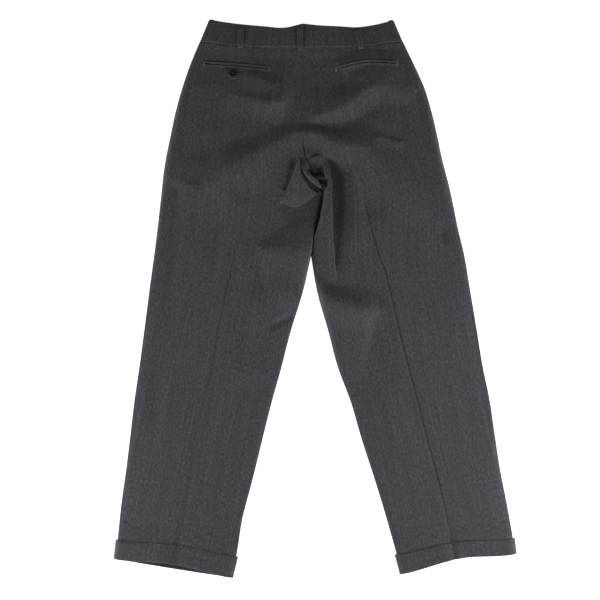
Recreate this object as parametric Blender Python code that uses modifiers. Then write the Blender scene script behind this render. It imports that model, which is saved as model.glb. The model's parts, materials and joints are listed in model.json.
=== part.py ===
"""Pleated dress trousers with turn-up cuffs, lying flat with the back upwards.

X runs across the two legs, +Y runs from the hems to the waist, and +Z is up from the surface that the
front lies on. The wearer's left is at -X. The origin is below the middle of the whole garment. Every size
here is in millimetres, and new_sheet() and the button turn them into metres.

Each leg is laid out in levels: level 0 is the seam under the waistband and level 19 is the hem. A point of a
panel is found from its level and from how far it lies across, 0 at the side seam and 1 at the inner edge.
"""

from collections import namedtuple
from math import cos, pi, sin, sqrt

import bmesh
import bpy
from mathutils import Vector
from mathutils.bvhtree import BVHTree

MM = 0.001
SEAM_GAP = 0.3  # between two pieces that are sewn together
STRIP_GAP = 0.4  # under a belt loop or a pocket jet, which lies on a curved panel

CLOTH = 1.2  # wall of the suiting, with its crease and nap
BAND_WALL = 2.2  # waistband: cloth folded over its stiffening
CUFF_WALL = 1.3
LOOP_WALL = 1.1
JET_WALL = 1.0

FRONT_LIFT = 1.6  # the front rises this far over the belt loops, and over the cuffs, which lie beneath it
EDGE_REACH = 12.0  # the back panel curls down to its edge over this width
EDGE_HEIGHT = 2.1  # top of the back panel at its edge
EDGE_STEPS = (0.0, 1.5, 4.0, 8.0, 12.0)  # the closest points to an edge, across the panel
BACK_MIDDLE_STEPS = 9
THINNEST = 1.5  # the back's least height over its edges, in its deepest troughs

CUFF_HEIGHT_LEVELS = 0.8  # cuff of 39 mm
CUFF_PROUD = 4.0  # the cuff is this much wider than the leg on each side
CUFF_OVERHANG = 1.5  # and this much longer
CUFF_LOFT = 7.7
CUFF_BACK_STEPS = 3  # up the cuff
CUFF_FRONT_STEPS = 1

FORK_LEVEL = 10
HEM_LEVEL = 19

Edge = namedtuple("Edge", "x y")

# Centre-back seam, the crotch point at level 7, then the line where the legs lie together down to the fork.
CENTRE_SEAM = (
    Edge(-24, 491),
    Edge(-24, 446),
    Edge(-24, 397),
    Edge(-24, 354),
    Edge(-24, 317),
    Edge(-18, 276),
    Edge(-2, 247),
    Edge(13, 218),
    Edge(9, 183),
    Edge(2, 138),
    Edge(-8, 83),
)
SIDE_SEAM = {
    "left": (
        Edge(-225, 503),
        Edge(-244, 458),
        Edge(-260, 411),
        Edge(-273, 364),
        Edge(-283, 317),
        Edge(-291, 278),
        Edge(-296, 247),
        Edge(-299, 220),
        Edge(-303, 183),
        Edge(-308, 138),
        Edge(-315, 83),
        Edge(-324, 17),
        Edge(-334, -61),
        Edge(-343, -129),
        Edge(-353, -197),
        Edge(-361, -264),
        Edge(-369, -330),
        Edge(-379, -402),
        Edge(-385, -461),
        Edge(-390, -507),
    ),
    "right": (
        Edge(171, 503),
        Edge(193, 458),
        Edge(214, 411),
        Edge(228, 364),
        Edge(239, 317),
        Edge(247, 278),
        Edge(255, 247),
        Edge(262, 220),
        Edge(270, 183),
        Edge(279, 138),
        Edge(292, 83),
        Edge(303, 17),
        Edge(316, -61),
        Edge(327, -129),
        Edge(341, -197),
        Edge(351, -264),
        Edge(361, -330),
        Edge(375, -402),
        Edge(385, -459),
        Edge(390, -497),
    ),
}
# Inseams, from the fork at level 10 to the hem.
INSEAM = {
    "left": (
        Edge(-8, 83),
        Edge(-24, 13),
        Edge(-48, -65),
        Edge(-66, -135),
        Edge(-86, -207),
        Edge(-104, -279),
        Edge(-122, -353),
        Edge(-142, -429),
        Edge(-152, -492),
        Edge(-164, -543),
    ),
    "right": (
        Edge(-8, 83),
        Edge(4, 13),
        Edge(26, -65),
        Edge(44, -133),
        Edge(70, -203),
        Edge(91, -275),
        Edge(114, -346),
        Edge(135, -414),
        Edge(156, -488),
        Edge(169, -536),
    ),
}
# How far the middle of a level's line lies above the straight line from edge to edge.
WAIST_BOW = -4.0
HEM_BOW = {"left": 9.0, "right": 11.0}

Level = namedtuple("Level", "loft free")  # height over the edges, and how far the inner edge is free to fall
LEVELS = (
    Level(7.0, 0.0),
    Level(7.5, 0.0),
    Level(7.5, 0.0),
    Level(7.5, 0.0),
    Level(7.5, 0.0),
    Level(8.0, 0.0),
    Level(8.0, 0.0),
    Level(7.5, 0.3),
    Level(6.5, 0.8),
    Level(5.5, 1.0),
    Level(4.5, 1.0),
    Level(4.0, 1.0),
    Level(3.8, 1.0),
    Level(3.8, 1.0),
    Level(3.8, 1.0),
    Level(3.8, 1.0),
    Level(3.8, 1.0),
    Level(3.8, 1.0),
    Level(4.0, 1.0),
    Level(4.0, 1.0),
)

Fold = namedtuple("Fold", "start middle end half_width rise")
FOLDS = (
    Fold(Edge(-22, 354), Edge(85, 397), Edge(190, 393), 22, 4.5),  # ridge across the right seat
    Fold(Edge(26, 434), Edge(95, 480), Edge(178, 455), 14, -1.5),  # hollow over the right pocket
    Fold(Edge(-168, 406), Edge(-112, 395), Edge(-46, 372), 22, 3.5),  # ridge under the left pocket
    Fold(Edge(-222, 184), Edge(-30, 318), Edge(155, 218), 26, 4.5),  # arch over both legs
    Fold(Edge(-30, 340), Edge(-120, 330), Edge(-215, 240), 16, -3.0),  # hollow above its left side
    Fold(Edge(162, 303), Edge(178, 268), Edge(200, 244), 18, -2.5),  # dip of the right hip
    Fold(Edge(-28, 284), Edge(-8, 276), Edge(12, 268), 17, 12.0),  # gathered cloth above the crotch
    Fold(Edge(-48, 242), Edge(-27, 214), Edge(-8, 188), 22, 7.0),  # flap at the left of the crotch
    Fold(Edge(27, 266), Edge(23, 163), Edge(25, 40), 15, 9.0),  # roll along the right inseam
    Fold(Edge(30, 262), Edge(52, 193), Edge(46, 85), 11, -3.0),  # trough beside that roll
    Fold(Edge(7, 36), Edge(58, 22), Edge(122, 1), 13, -2.5),  # fold below that roll
    Fold(Edge(27, -32), Edge(72, -30), Edge(122, -32), 16, 2.0),  # swelling under that fold
    Fold(Edge(-43, -36), Edge(-63, -45), Edge(-88, -57), 11, -2.0),  # pinch at the left knee
)
FOLD_STEPS = 8
FOLD_REACH = 1.6  # a fold runs out at this many half widths from its line
FOLD_END = 0.35  # share of its height that it keeps at its ends

# Top edge of the waistband from the side fold (first row) to the centre back (last row), in even steps:
# its place, and how far it stands over the seam below it.
BandTop = namedtuple("BandTop", "x y lift")
BAND_TOP = {
    "left": (
        BandTop(-207, 545, 0),
        BandTop(-170, 539, 0.5),
        BandTop(-134, 535, 1.5),
        BandTop(-97, 532, 3),
        BandTop(-61, 529, 5),
        BandTop(-24, 538, 1),
    ),
    "right": (
        BandTop(153, 544, 0),
        BandTop(118, 535, 2),
        BandTop(82, 530, 4.5),
        BandTop(47, 532, 3),
        BandTop(11, 532, 3),
        BandTop(-24, 538, 1),
    ),
}
BAND_STEP = 0.9  # the band stands this much over the panel at their seam
BAND_BACK_STEPS = 10
BAND_FRONT_STEPS = 9
BAND_FOLD_REACH = 9.0
BAND_FOLD_STEPS = 5
BAND_FOLD_CLEAR = 1.3  # the slanting side fold starts this much higher, so that its inside clears the panel
BAND_UP_STEPS = 3
BAND_TURN = 0.05  # share of the width that the band's side fold takes, on the back and on the front
BAND_TURN_HEIGHT_AT = 0.1  # share of the width where the back is as high as the side fold
FRONT_BAND_SHORT = 1.5  # the front's top edge lies this much lower than the back's
LAP_END = {"left": 1.15, "right": 1.02}  # the left front end closes over the right one
LEFT_COMES_DOWN = (0.84, 0.96)  # where the left front end leaves its loops for the surface below
RIGHT_GOES_UP = (0.66, 0.80)  # and where the right front end climbs onto it

FLY_REACH = {"left": 5.0, "right": -2.0}  # how far each front reaches past the centre at the fly
FLY_LEVELS = (4.0, 5.0, 6.0)  # the lap ends between the first two, and its step between the last two
FLY_STEPS = (24.0, 10.0)  # from the inner edge: the right front climbs onto the left one between these
FRONT_SIDE_STEP = 8.0
FRONT_PLAIN_ACROSS = 0.70  # a point on the plain cloth between the pleats and the fly

PLEATS_ACROSS = (0.30, 0.48)  # the two pleats of each front, the second one running into the crease
PLEAT_DEPTH = 20.0
PLEAT_LAYER = 2.0  # from one layer of a pleat to the next
PLEAT_OPENS = (1.6, 2.2)  # the levels where a pleat stops overlapping and becomes a ripple
PLEAT_DEPTH_ENDS = 2.4  # the level that its depth shrinks towards
PLEAT_ENDS = 4.6
PLEAT_CLEAR = 0.9  # the slanting layers of the pleats end this much below the seam
PleatPoint = namedtuple("PleatPoint", "by_depth by_layer open_at layers")
# One pleat from the side seam inwards: up over the fold, in, round, back out, round and down.
PLEAT = (
    PleatPoint(0, -6.0, -12, 0),
    PleatPoint(0, -1.6, -8, 2),
    PleatPoint(1, 0, -4, 2),
    PleatPoint(1, 0.5, 0, 1.5),
    PleatPoint(1, 0, 4, 1),
    PleatPoint(0, 0, 8, 1),
    PleatPoint(0, -0.5, 12, 0.5),
    PleatPoint(0, 0, 16, 0),
)

BACK_LEVEL_RUNS = ((0, 0.6, 2), (0.6, 12, 31), (12, 17, 5), (17, 19, 6))  # from, to and steps
FRONT_LEVELS = (0, 0.3, 0.6, 1, 1.6, 2.2, 3, 4, 5, 6, 7, 8.5, 10, 12, 14, 16, 17.5, 18, 18.5, 19)

LOOP_WIDTH = 12.0
LOOP_STEPS = 8
LOOP_BULGE = 2.0
BackLoop = namedtuple("BackLoop", "name top bottom")
BACK_LOOPS = (
    BackLoop("left", Edge(-146, 527), Edge(-146, 489)),
    BackLoop("centre", Edge(-29, 529), Edge(-29, 485)),
    BackLoop("right", Edge(82, 523), Edge(89, 487)),
)
FRONT_LOOPS_ACROSS = (0.22, 0.62)
FRONT_LOOP_BELOW_SEAM = 5.0
FRONT_LOOP_BELOW_TOP = 7.0

Pocket = namedtuple("Pocket", "outer middle inner")
POCKETS = {
    "left": Pocket(Edge(-217, 458), Edge(-154, 454), Edge(-89, 448)),
    "right": Pocket(Edge(160, 458), Edge(99, 460), Edge(41, 447)),
}
JET_WIDTH = 5.5
JET_STEPS = 9
BUTTON_CENTRE = Edge(-160, 440)
BUTTON_DIAMETER = 15.0
BUTTON_HEIGHT = 2.8
BUTTON_ROUNDING = 0.8
BUTTON_SHARP_ANGLE = 0.6
BUTTON_SEAT_POINTS = 8

HIGH_ABOVE = 200.0  # higher than any part of the garment
SEAM_REACH = 1.0  # a point over a seam gap takes its height from this close by

CHARCOAL = (0.056, 0.053, 0.060, 1.0)
CLOTH_ROUGHNESS = 0.95
BUTTON_BLACK = (0.012, 0.012, 0.013, 1.0)
BUTTON_ROUGHNESS = 0.25


def smooth(low, high, value):
    """0 below low, 1 above high, and a soft step between them."""
    part = min(max((value - low) / (high - low), 0.0), 1.0)
    return part * part * (3.0 - 2.0 * part)


def on_curve(rows, at):
    """The values at row number at, on the smooth curve that passes through all the rows."""
    first = min(max(int(at), 0), len(rows) - 2)
    part = at - first
    start, end = Vector(rows[first]), Vector(rows[first + 1])
    before = Vector(rows[first - 1]) if first else start * 2 - end
    after = Vector(rows[first + 2]) if first + 2 < len(rows) else end * 2 - start
    leave, arrive = (end - before) / 2, (after - start) / 2
    return (
        start * (2 * part**3 - 3 * part**2 + 1)
        + leave * (part**3 - 2 * part**2 + part)
        + end * (3 * part**2 - 2 * part**3)
        + arrive * (part**3 - part**2)
    )


def inner_edge(side, level):
    """The centre-back seam, or below the fork the inseam, half a seam gap clear of the other leg."""
    if level <= FORK_LEVEL:
        point = on_curve(CENTRE_SEAM, level)
    else:
        point = on_curve(INSEAM[side], level - FORK_LEVEL)
    clear = SEAM_GAP / 2 if side == "right" else -SEAM_GAP / 2
    return point + Vector((clear, 0))


def bow(side, level, is_front=False):
    """How far the middle of this level's line lies above the straight line between its ends."""
    at_hem = 0.0 if is_front and side == "left" else HEM_BOW[side]
    return WAIST_BOW * (1 - smooth(0, 1.5, level)) + at_hem * smooth(17, 18.6, level)


def plan(side, level, across, is_front=False):
    """The place of a panel's point, seen from above."""
    outer, inner = on_curve(SIDE_SEAM[side], level), inner_edge(side, level)
    point = outer.lerp(inner, across)
    point.y += bow(side, level, is_front) * sin(pi * min(max(across, 0.0), 1.0)) ** 2
    return point


def width(side, level):
    """Width of a panel at this level."""
    return (inner_edge(side, level) - on_curve(SIDE_SEAM[side], level)).length


def curl(distance):
    """From 0 at an edge to 1 where the cloth has stopped curling down, as a quarter of an ellipse."""
    return sqrt(1 - (1 - min(max(distance / EDGE_REACH, 0.0), 1.0)) ** 2)


def front_lift(level):
    """The front lies over the belt loops at the waist and over the cuffs at the hem."""
    return FRONT_LIFT * (1 - smooth(0.05, 0.6, level) + smooth(17.5, 18, level))


def fold_points(fold):
    """Points along a fold, which passes through its start, middle and end."""
    start, end = Vector(fold.start), Vector(fold.end)
    control = Vector(fold.middle) * 2 - (start + end) / 2
    parts = [step / FOLD_STEPS for step in range(FOLD_STEPS + 1)]
    return [start * (1 - p) ** 2 + control * (2 * p * (1 - p)) + end * p**2 for p in parts]


FOLD_LINES = [fold_points(fold) for fold in FOLDS]


def folds_rise(point):
    """The sum of the folds' heights at a point: each one is soft across and fades to its ends."""
    total = 0.0
    for fold, line in zip(FOLDS, FOLD_LINES):
        reach = FOLD_REACH * fold.half_width
        nearest, along = reach, 0.0
        for step in range(FOLD_STEPS):
            run = line[step + 1] - line[step]
            part = (point - line[step]).dot(run) / run.length_squared
            inside = min(max(part, 0.0), 1.0)
            distance = (point - line[step] - run * inside).length
            if distance < nearest:
                nearest, along = distance, (step + inside) / FOLD_STEPS
        fade = FOLD_END + (1 - FOLD_END) * sin(pi * along)
        total += fold.rise * (1 - smooth(0, reach, nearest)) * fade
    return total


def back_height(side, level, across):
    """Height of the back panel's upper face."""
    loft, free = on_curve(LEVELS, level)
    wide = width(side, level)
    fall = curl(across * wide) * (1 - free * (1 - curl((1 - across) * wide)))
    point = plan(side, level, across)
    return EDGE_HEIGHT + front_lift(level) + max(loft + folds_rise(point), THINNEST) * fall


def steps_across(wide, middle_steps):
    """Where the points of a back row lie: close together at both edges, and evenly between them."""
    middle = [
        EDGE_REACH + (wide - 2 * EDGE_REACH) * step / middle_steps for step in range(1, middle_steps)
    ]
    places = [*EDGE_STEPS, *middle, *[wide - step for step in reversed(EDGE_STEPS)]]
    return [place / wide for place in places]


def runs(table):
    """Every level that a table of (from, to, steps) asks for."""
    levels = [table[0][0]]
    for start, end, steps in table:
        levels += [start + (end - start) * (step + 1) / steps for step in range(steps)]
    return levels


def new_material(name, colour, roughness):
    """A material of one colour, not metallic."""
    material = bpy.data.materials.new(name)
    material.use_nodes = True
    shader = material.node_tree.nodes["Principled BSDF"]
    shader.inputs["Base Color"].default_value = colour
    shader.inputs["Roughness"].default_value = roughness
    shader.inputs["Metallic"].default_value = 0.0
    return material


def add_object(name, mesh, colour, roughness):
    """An object in the garment's collection, with a material of its own."""
    mesh.materials.append(new_material(name, colour, roughness))
    thing = bpy.data.objects.new(name, mesh)
    bpy.data.collections["pleated_dress_trousers"].objects.link(thing)
    return thing


def new_sheet(name, rows, wall, offset=-1.0, face_down=False):
    """A cloth piece: a grid of points in millimetres, given its wall.

    With offset -1 the points are its outer face, and with 0 they are the middle of its wall. Rows that run
    clockwise make a grid that faces down, which face_down turns over. Returns the faces of the points, for
    other pieces to lie on.
    """
    columns = len(rows[0]) - 1
    grid = bmesh.new()
    bmesh.ops.create_grid(grid, x_segments=columns, y_segments=len(rows) - 1, size=0.5)
    for vertex in grid.verts:
        column = round((vertex.co.x + 0.5) * columns)
        row = round((vertex.co.y + 0.5) * (len(rows) - 1))
        vertex.co = Vector(rows[row][column]) * MM
    if face_down:
        bmesh.ops.reverse_faces(grid, faces=grid.faces)
    mesh = bpy.data.meshes.new(name)
    grid.to_mesh(mesh)
    faces = BVHTree.FromBMesh(grid)
    grid.free()
    mesh.shade_smooth()
    sheet = add_object(name, mesh, CHARCOAL, CLOTH_ROUGHNESS)
    solidify = sheet.modifiers.new("wall", "SOLIDIFY")
    solidify.thickness = wall * MM
    solidify.offset = offset
    return faces


def back_panel(side):
    """The back of one leg with its half of the seat, and its folds."""
    rows = []
    for level in reversed(runs(BACK_LEVEL_RUNS)):
        row = []
        for across in steps_across(width(side, level), BACK_MIDDLE_STEPS):
            point = plan(side, level, across)
            row.append((point.x, point.y, back_height(side, level, across)))
        rows.append(row)
    return new_sheet(f"back_panel_{side}", rows, CLOTH, face_down=side == "right")


def pleat_points(centre, level):
    """Place across and height of each point of a pleat whose fold lies at centre, at this level."""
    depth = PLEAT_DEPTH * max(1 - level / PLEAT_DEPTH_ENDS, 0.0)
    layer = PLEAT_LAYER * (1 - smooth(PLEAT_OPENS[0], PLEAT_ENDS, level))
    opened = smooth(*PLEAT_OPENS, level)
    points = []
    for point in PLEAT:
        folded = point.by_depth * depth + point.by_layer * PLEAT_LAYER
        place = folded + (point.open_at - folded) * opened
        points.append((centre + place, point.layers * layer))
    return points


def front_panel(side):
    """The front of one leg, which lies below, with its pleats, and a fly that laps left over right."""
    rows = []
    fly_foot, fly_top = FLY_STEPS
    lap_from, lap_to, step_to = FLY_LEVELS
    for level in reversed(FRONT_LEVELS):
        wide = width(side, level)
        lap = 1 - smooth(lap_from, lap_to, level)
        clear = 0.0 if level else PLEAT_CLEAR
        end = wide + lap * FLY_REACH[side]
        over = (CLOTH + SEAM_GAP) * (1 - smooth(lap_to, step_to, level)) if side == "right" else 0.0
        points = [(0.0, 0.0), (FRONT_SIDE_STEP, 0.0)]
        for across in PLEATS_ACROSS:
            points += pleat_points(across * wide, level)
        points += [(wide * FRONT_PLAIN_ACROSS, 0.0), (wide - fly_foot, 0.0)]
        points += [(wide - fly_top, over), (end, over)]
        row = []
        for place, height in points:
            point = plan(side, level, place / wide, is_front=True)
            row.append((point.x, point.y - clear, CLOTH / 2 + front_lift(level) + height))
        rows.append(row)
    new_sheet(f"front_panel_{side}", rows, CLOTH, offset=0.0, face_down=side == "right")


def band_column(side, across, is_front):
    """The seam end and the top end of one column of the waistband, seen from above."""
    if across > 1:
        other = "right" if side == "left" else "left"
        return band_column(other, 1 - (across - 1) * width(side, 0) / width(other, 0), is_front)
    seam = plan(side, 0, across) + Vector((0, SEAM_GAP))
    table = BAND_TOP[side]
    top = on_curve(table, across * (len(table) - 1))
    if is_front:
        top.y -= FRONT_BAND_SHORT
    elif across == 1:
        top.x += SEAM_GAP / 2 if side == "right" else -SEAM_GAP / 2
    return seam, top


def front_band_height(side, across):
    """Lowest face of the waistband's front: over the loops, then under or over the other end."""
    if side == "left":
        return FRONT_LIFT * (1 - smooth(*LEFT_COMES_DOWN, across))
    lapped = BAND_WALL + 2 * SEAM_GAP
    return FRONT_LIFT + (lapped - FRONT_LIFT) * smooth(*RIGHT_GOES_UP, across)


def waistband(side):
    """One half of the waistband: from the centre back round the side fold to the front closure."""
    back_span, front_span = 1 - BAND_TURN, LAP_END[side] - BAND_TURN
    across_back = [1 - back_span * step / BAND_BACK_STEPS for step in range(BAND_BACK_STEPS)]
    across_front = [
        BAND_TURN + front_span * (step + 1) / BAND_FRONT_STEPS for step in range(BAND_FRONT_STEPS)
    ]
    rows = []
    for up_step in range(BAND_UP_STEPS + 1):
        up = up_step / BAND_UP_STEPS
        row = []
        for across in across_back:
            seam, top = band_column(side, across, is_front=False)
            point = seam.lerp(top.xy, up)
            height = back_height(side, 0, across) + BAND_STEP + top.z * up**1.5
            row.append((point.x, point.y, height))
        seam, top = band_column(side, 0, is_front=False)
        outer = seam.lerp(top.xy, up)
        inwards = 1 if side == "left" else -1
        high = back_height(side, 0, BAND_TURN_HEIGHT_AT) + BAND_STEP
        half = (high - FRONT_LIFT) / 2
        for step in range(BAND_FOLD_STEPS + 1):
            angle = pi * step / BAND_FOLD_STEPS
            x = outer.x + inwards * BAND_FOLD_REACH * (1 - sin(angle))
            clear = BAND_FOLD_CLEAR * (1 - up)
            row.append((x, outer.y + clear, FRONT_LIFT + half * (1 + cos(angle))))
        for across in across_front:
            seam, top = band_column(side, across, is_front=True)
            point = seam.lerp(top.xy, up)
            row.append((point.x, point.y, front_band_height(side, across)))
        rows.append(row)
    return new_sheet(f"waistband_{side}", rows, BAND_WALL, face_down=side == "left")


def cuff_row(side, level, across_steps, is_front):
    """The places of one row of a cuff, which is wider than the leg on both sides, and longer."""
    spare = CUFF_PROUD / width(side, level)
    past = CUFF_OVERHANG if level == HEM_LEVEL else 0.0
    points = [plan(side, level, -spare + across * (1 + 2 * spare), is_front) for across in across_steps]
    return [(point.x, point.y - past) for point in points]


def cuff_levels(steps):
    """The levels of a cuff's rows, from the hem up."""
    return [HEM_LEVEL - CUFF_HEIGHT_LEVELS * step / steps for step in range(steps + 1)]


def cuff_back(side):
    """The turn-up of the back, which curls down to its edges over the leg."""
    rows = []
    for level in cuff_levels(CUFF_BACK_STEPS):
        wide = width(side, level) + 2 * CUFF_PROUD
        steps = steps_across(wide, BACK_MIDDLE_STEPS)
        row = []
        for across, (x, y) in zip(steps, cuff_row(side, level, steps, is_front=False)):
            fall = curl(across * wide) * curl((1 - across) * wide)
            row.append((x, y, EDGE_HEIGHT + CUFF_LOFT * fall))
        rows.append(row)
    new_sheet(f"cuff_back_{side}", rows, CUFF_WALL, face_down=side == "right")


def cuff_front(side):
    """The turn-up of the front, which lies flat at the bottom."""
    steps = [step / BACK_MIDDLE_STEPS for step in range(BACK_MIDDLE_STEPS + 1)]
    rows = []
    for level in cuff_levels(CUFF_FRONT_STEPS):
        rows.append([(x, y, CUFF_WALL) for x, y in cuff_row(side, level, steps, is_front=True)])
    new_sheet(f"cuff_front_{side}", rows, CUFF_WALL, face_down=side == "right")


def top_of(surfaces, x, y):
    """Height of the highest of the surfaces at a place, in millimetres."""
    heights = []
    for slip in (0.0, SEAM_REACH, -SEAM_REACH):
        for faces in surfaces:
            hit = faces.ray_cast(Vector((x, y + slip, HIGH_ABOVE)) * MM, Vector((0, 0, -1)))
            if hit[0]:
                heights.append(hit[0].z / MM)
    return max(heights)


def strip_rows(line, half_width, wall, surfaces, bulge=0.0):
    """Rows of a narrow strip that lies on the surfaces along a line of points."""
    rows = []
    for number, point in enumerate(line):
        before, after = line[max(number - 1, 0)], line[min(number + 1, len(line) - 1)]
        run = (after - before).normalized()
        side_step = Vector((run.y, -run.x)) * half_width
        places = [point - side_step, point + side_step]
        high = [top_of(surfaces, place.x, place.y) for place in places]
        over = STRIP_GAP + wall + bulge * sin(pi * number / (len(line) - 1))
        rows.append([(p.x, p.y, h + over) for p, h in zip(places, high)])
    return rows


def belt_loops_back(surfaces):
    """Three loops over the waistband, which bulge where a belt would go."""
    for loop in BACK_LOOPS:
        bottom, top = Vector(loop.bottom), Vector(loop.top)
        line = [bottom.lerp(top, step / LOOP_STEPS) for step in range(LOOP_STEPS + 1)]
        rows = strip_rows(line, LOOP_WIDTH / 2, LOOP_WALL, surfaces, LOOP_BULGE)
        new_sheet(f"belt_loop_back_{loop.name}", rows, LOOP_WALL)


def belt_loops_front():
    """The front's loops lie flat under the waistband."""
    number = 0
    for side in ("left", "right"):
        for across in FRONT_LOOPS_ACROSS:
            number += 1
            seam, top = band_column(side, across, is_front=True)
            bottom = Vector((seam.x, seam.y - FRONT_LOOP_BELOW_SEAM))
            end = Vector((seam.x, top.y - FRONT_LOOP_BELOW_TOP))
            rows = []
            for step in range(LOOP_STEPS + 1):
                point = bottom.lerp(end, step / LOOP_STEPS)
                ends = (point.x - LOOP_WIDTH / 2, point.x + LOOP_WIDTH / 2)
                rows.append([(x, point.y, LOOP_WALL) for x in ends])
            new_sheet(f"belt_loop_front_{number}", rows, LOOP_WALL)


def pocket_jets(side, surface):
    """The two narrow welts that frame a back pocket's mouth."""
    pocket = POCKETS[side]
    table = sorted(pocket)
    centre = [on_curve(table, 2 * step / JET_STEPS) for step in range(JET_STEPS + 1)]
    for name, way in (("upper", 1), ("lower", -1)):
        shift = Vector((0, way * (JET_WIDTH + SEAM_GAP) / 2))
        rows = strip_rows([point + shift for point in centre], JET_WIDTH / 2, JET_WALL, [surface])
        new_sheet(f"pocket_jet_{name}_{side}", rows, JET_WALL)


def pocket_button(surface):
    """A flat round button with a rounded rim, just under the left pocket."""
    rim = BUTTON_DIAMETER / 2
    turns = [2 * pi * step / BUTTON_SEAT_POINTS for step in range(BUTTON_SEAT_POINTS)]
    around = [(rim * cos(turn), rim * sin(turn)) for turn in turns]
    seat = max(top_of([surface], BUTTON_CENTRE.x + x, BUTTON_CENTRE.y + y) for x, y in around)
    disc = bmesh.new()
    bmesh.ops.create_cone(
        disc, cap_ends=True, segments=32, radius1=rim * MM, radius2=rim * MM, depth=BUTTON_HEIGHT * MM
    )
    mesh = bpy.data.meshes.new("pocket_button")
    disc.to_mesh(mesh)
    disc.free()
    mesh.shade_smooth()
    mesh.set_sharp_from_angle(angle=BUTTON_SHARP_ANGLE)
    button = add_object("pocket_button", mesh, BUTTON_BLACK, BUTTON_ROUGHNESS)
    middle = seat + SEAM_GAP + BUTTON_HEIGHT / 2
    button.location = Vector((BUTTON_CENTRE.x, BUTTON_CENTRE.y, middle)) * MM
    bevel = button.modifiers.new("rounded rim", "BEVEL")
    bevel.width = BUTTON_ROUNDING * MM
    bevel.segments = 2
    bevel.limit_method = "ANGLE"


def main():
    """Builds the garment's pieces in a collection of their own."""
    for thing in list(bpy.data.objects):
        bpy.data.objects.remove(thing, do_unlink=True)
    garment = bpy.data.collections.new("pleated_dress_trousers")
    bpy.context.scene.collection.children.link(garment)
    backs, bands = {}, []
    for side in ("left", "right"):
        front_panel(side)
        backs[side] = back_panel(side)
        bands.append(waistband(side))
        cuff_back(side)
        cuff_front(side)
        pocket_jets(side, backs[side])
    belt_loops_back([*backs.values(), *bands])
    belt_loops_front()
    pocket_button(backs["left"])


main()
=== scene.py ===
"""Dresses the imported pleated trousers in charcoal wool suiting, on a pale floor between soft lamps.

The trousers lie flat with the back upwards: X runs across the legs, +Y to the waist and +Z up. Sizes are in
millimetres and become metres where a mesh is made. Each leg is laid out in levels, from 0 at the seam under
the waistband to 19 at the hem. A point lies across its panel from 0 at the side seam to 1 at the inner edge.
"""

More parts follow.
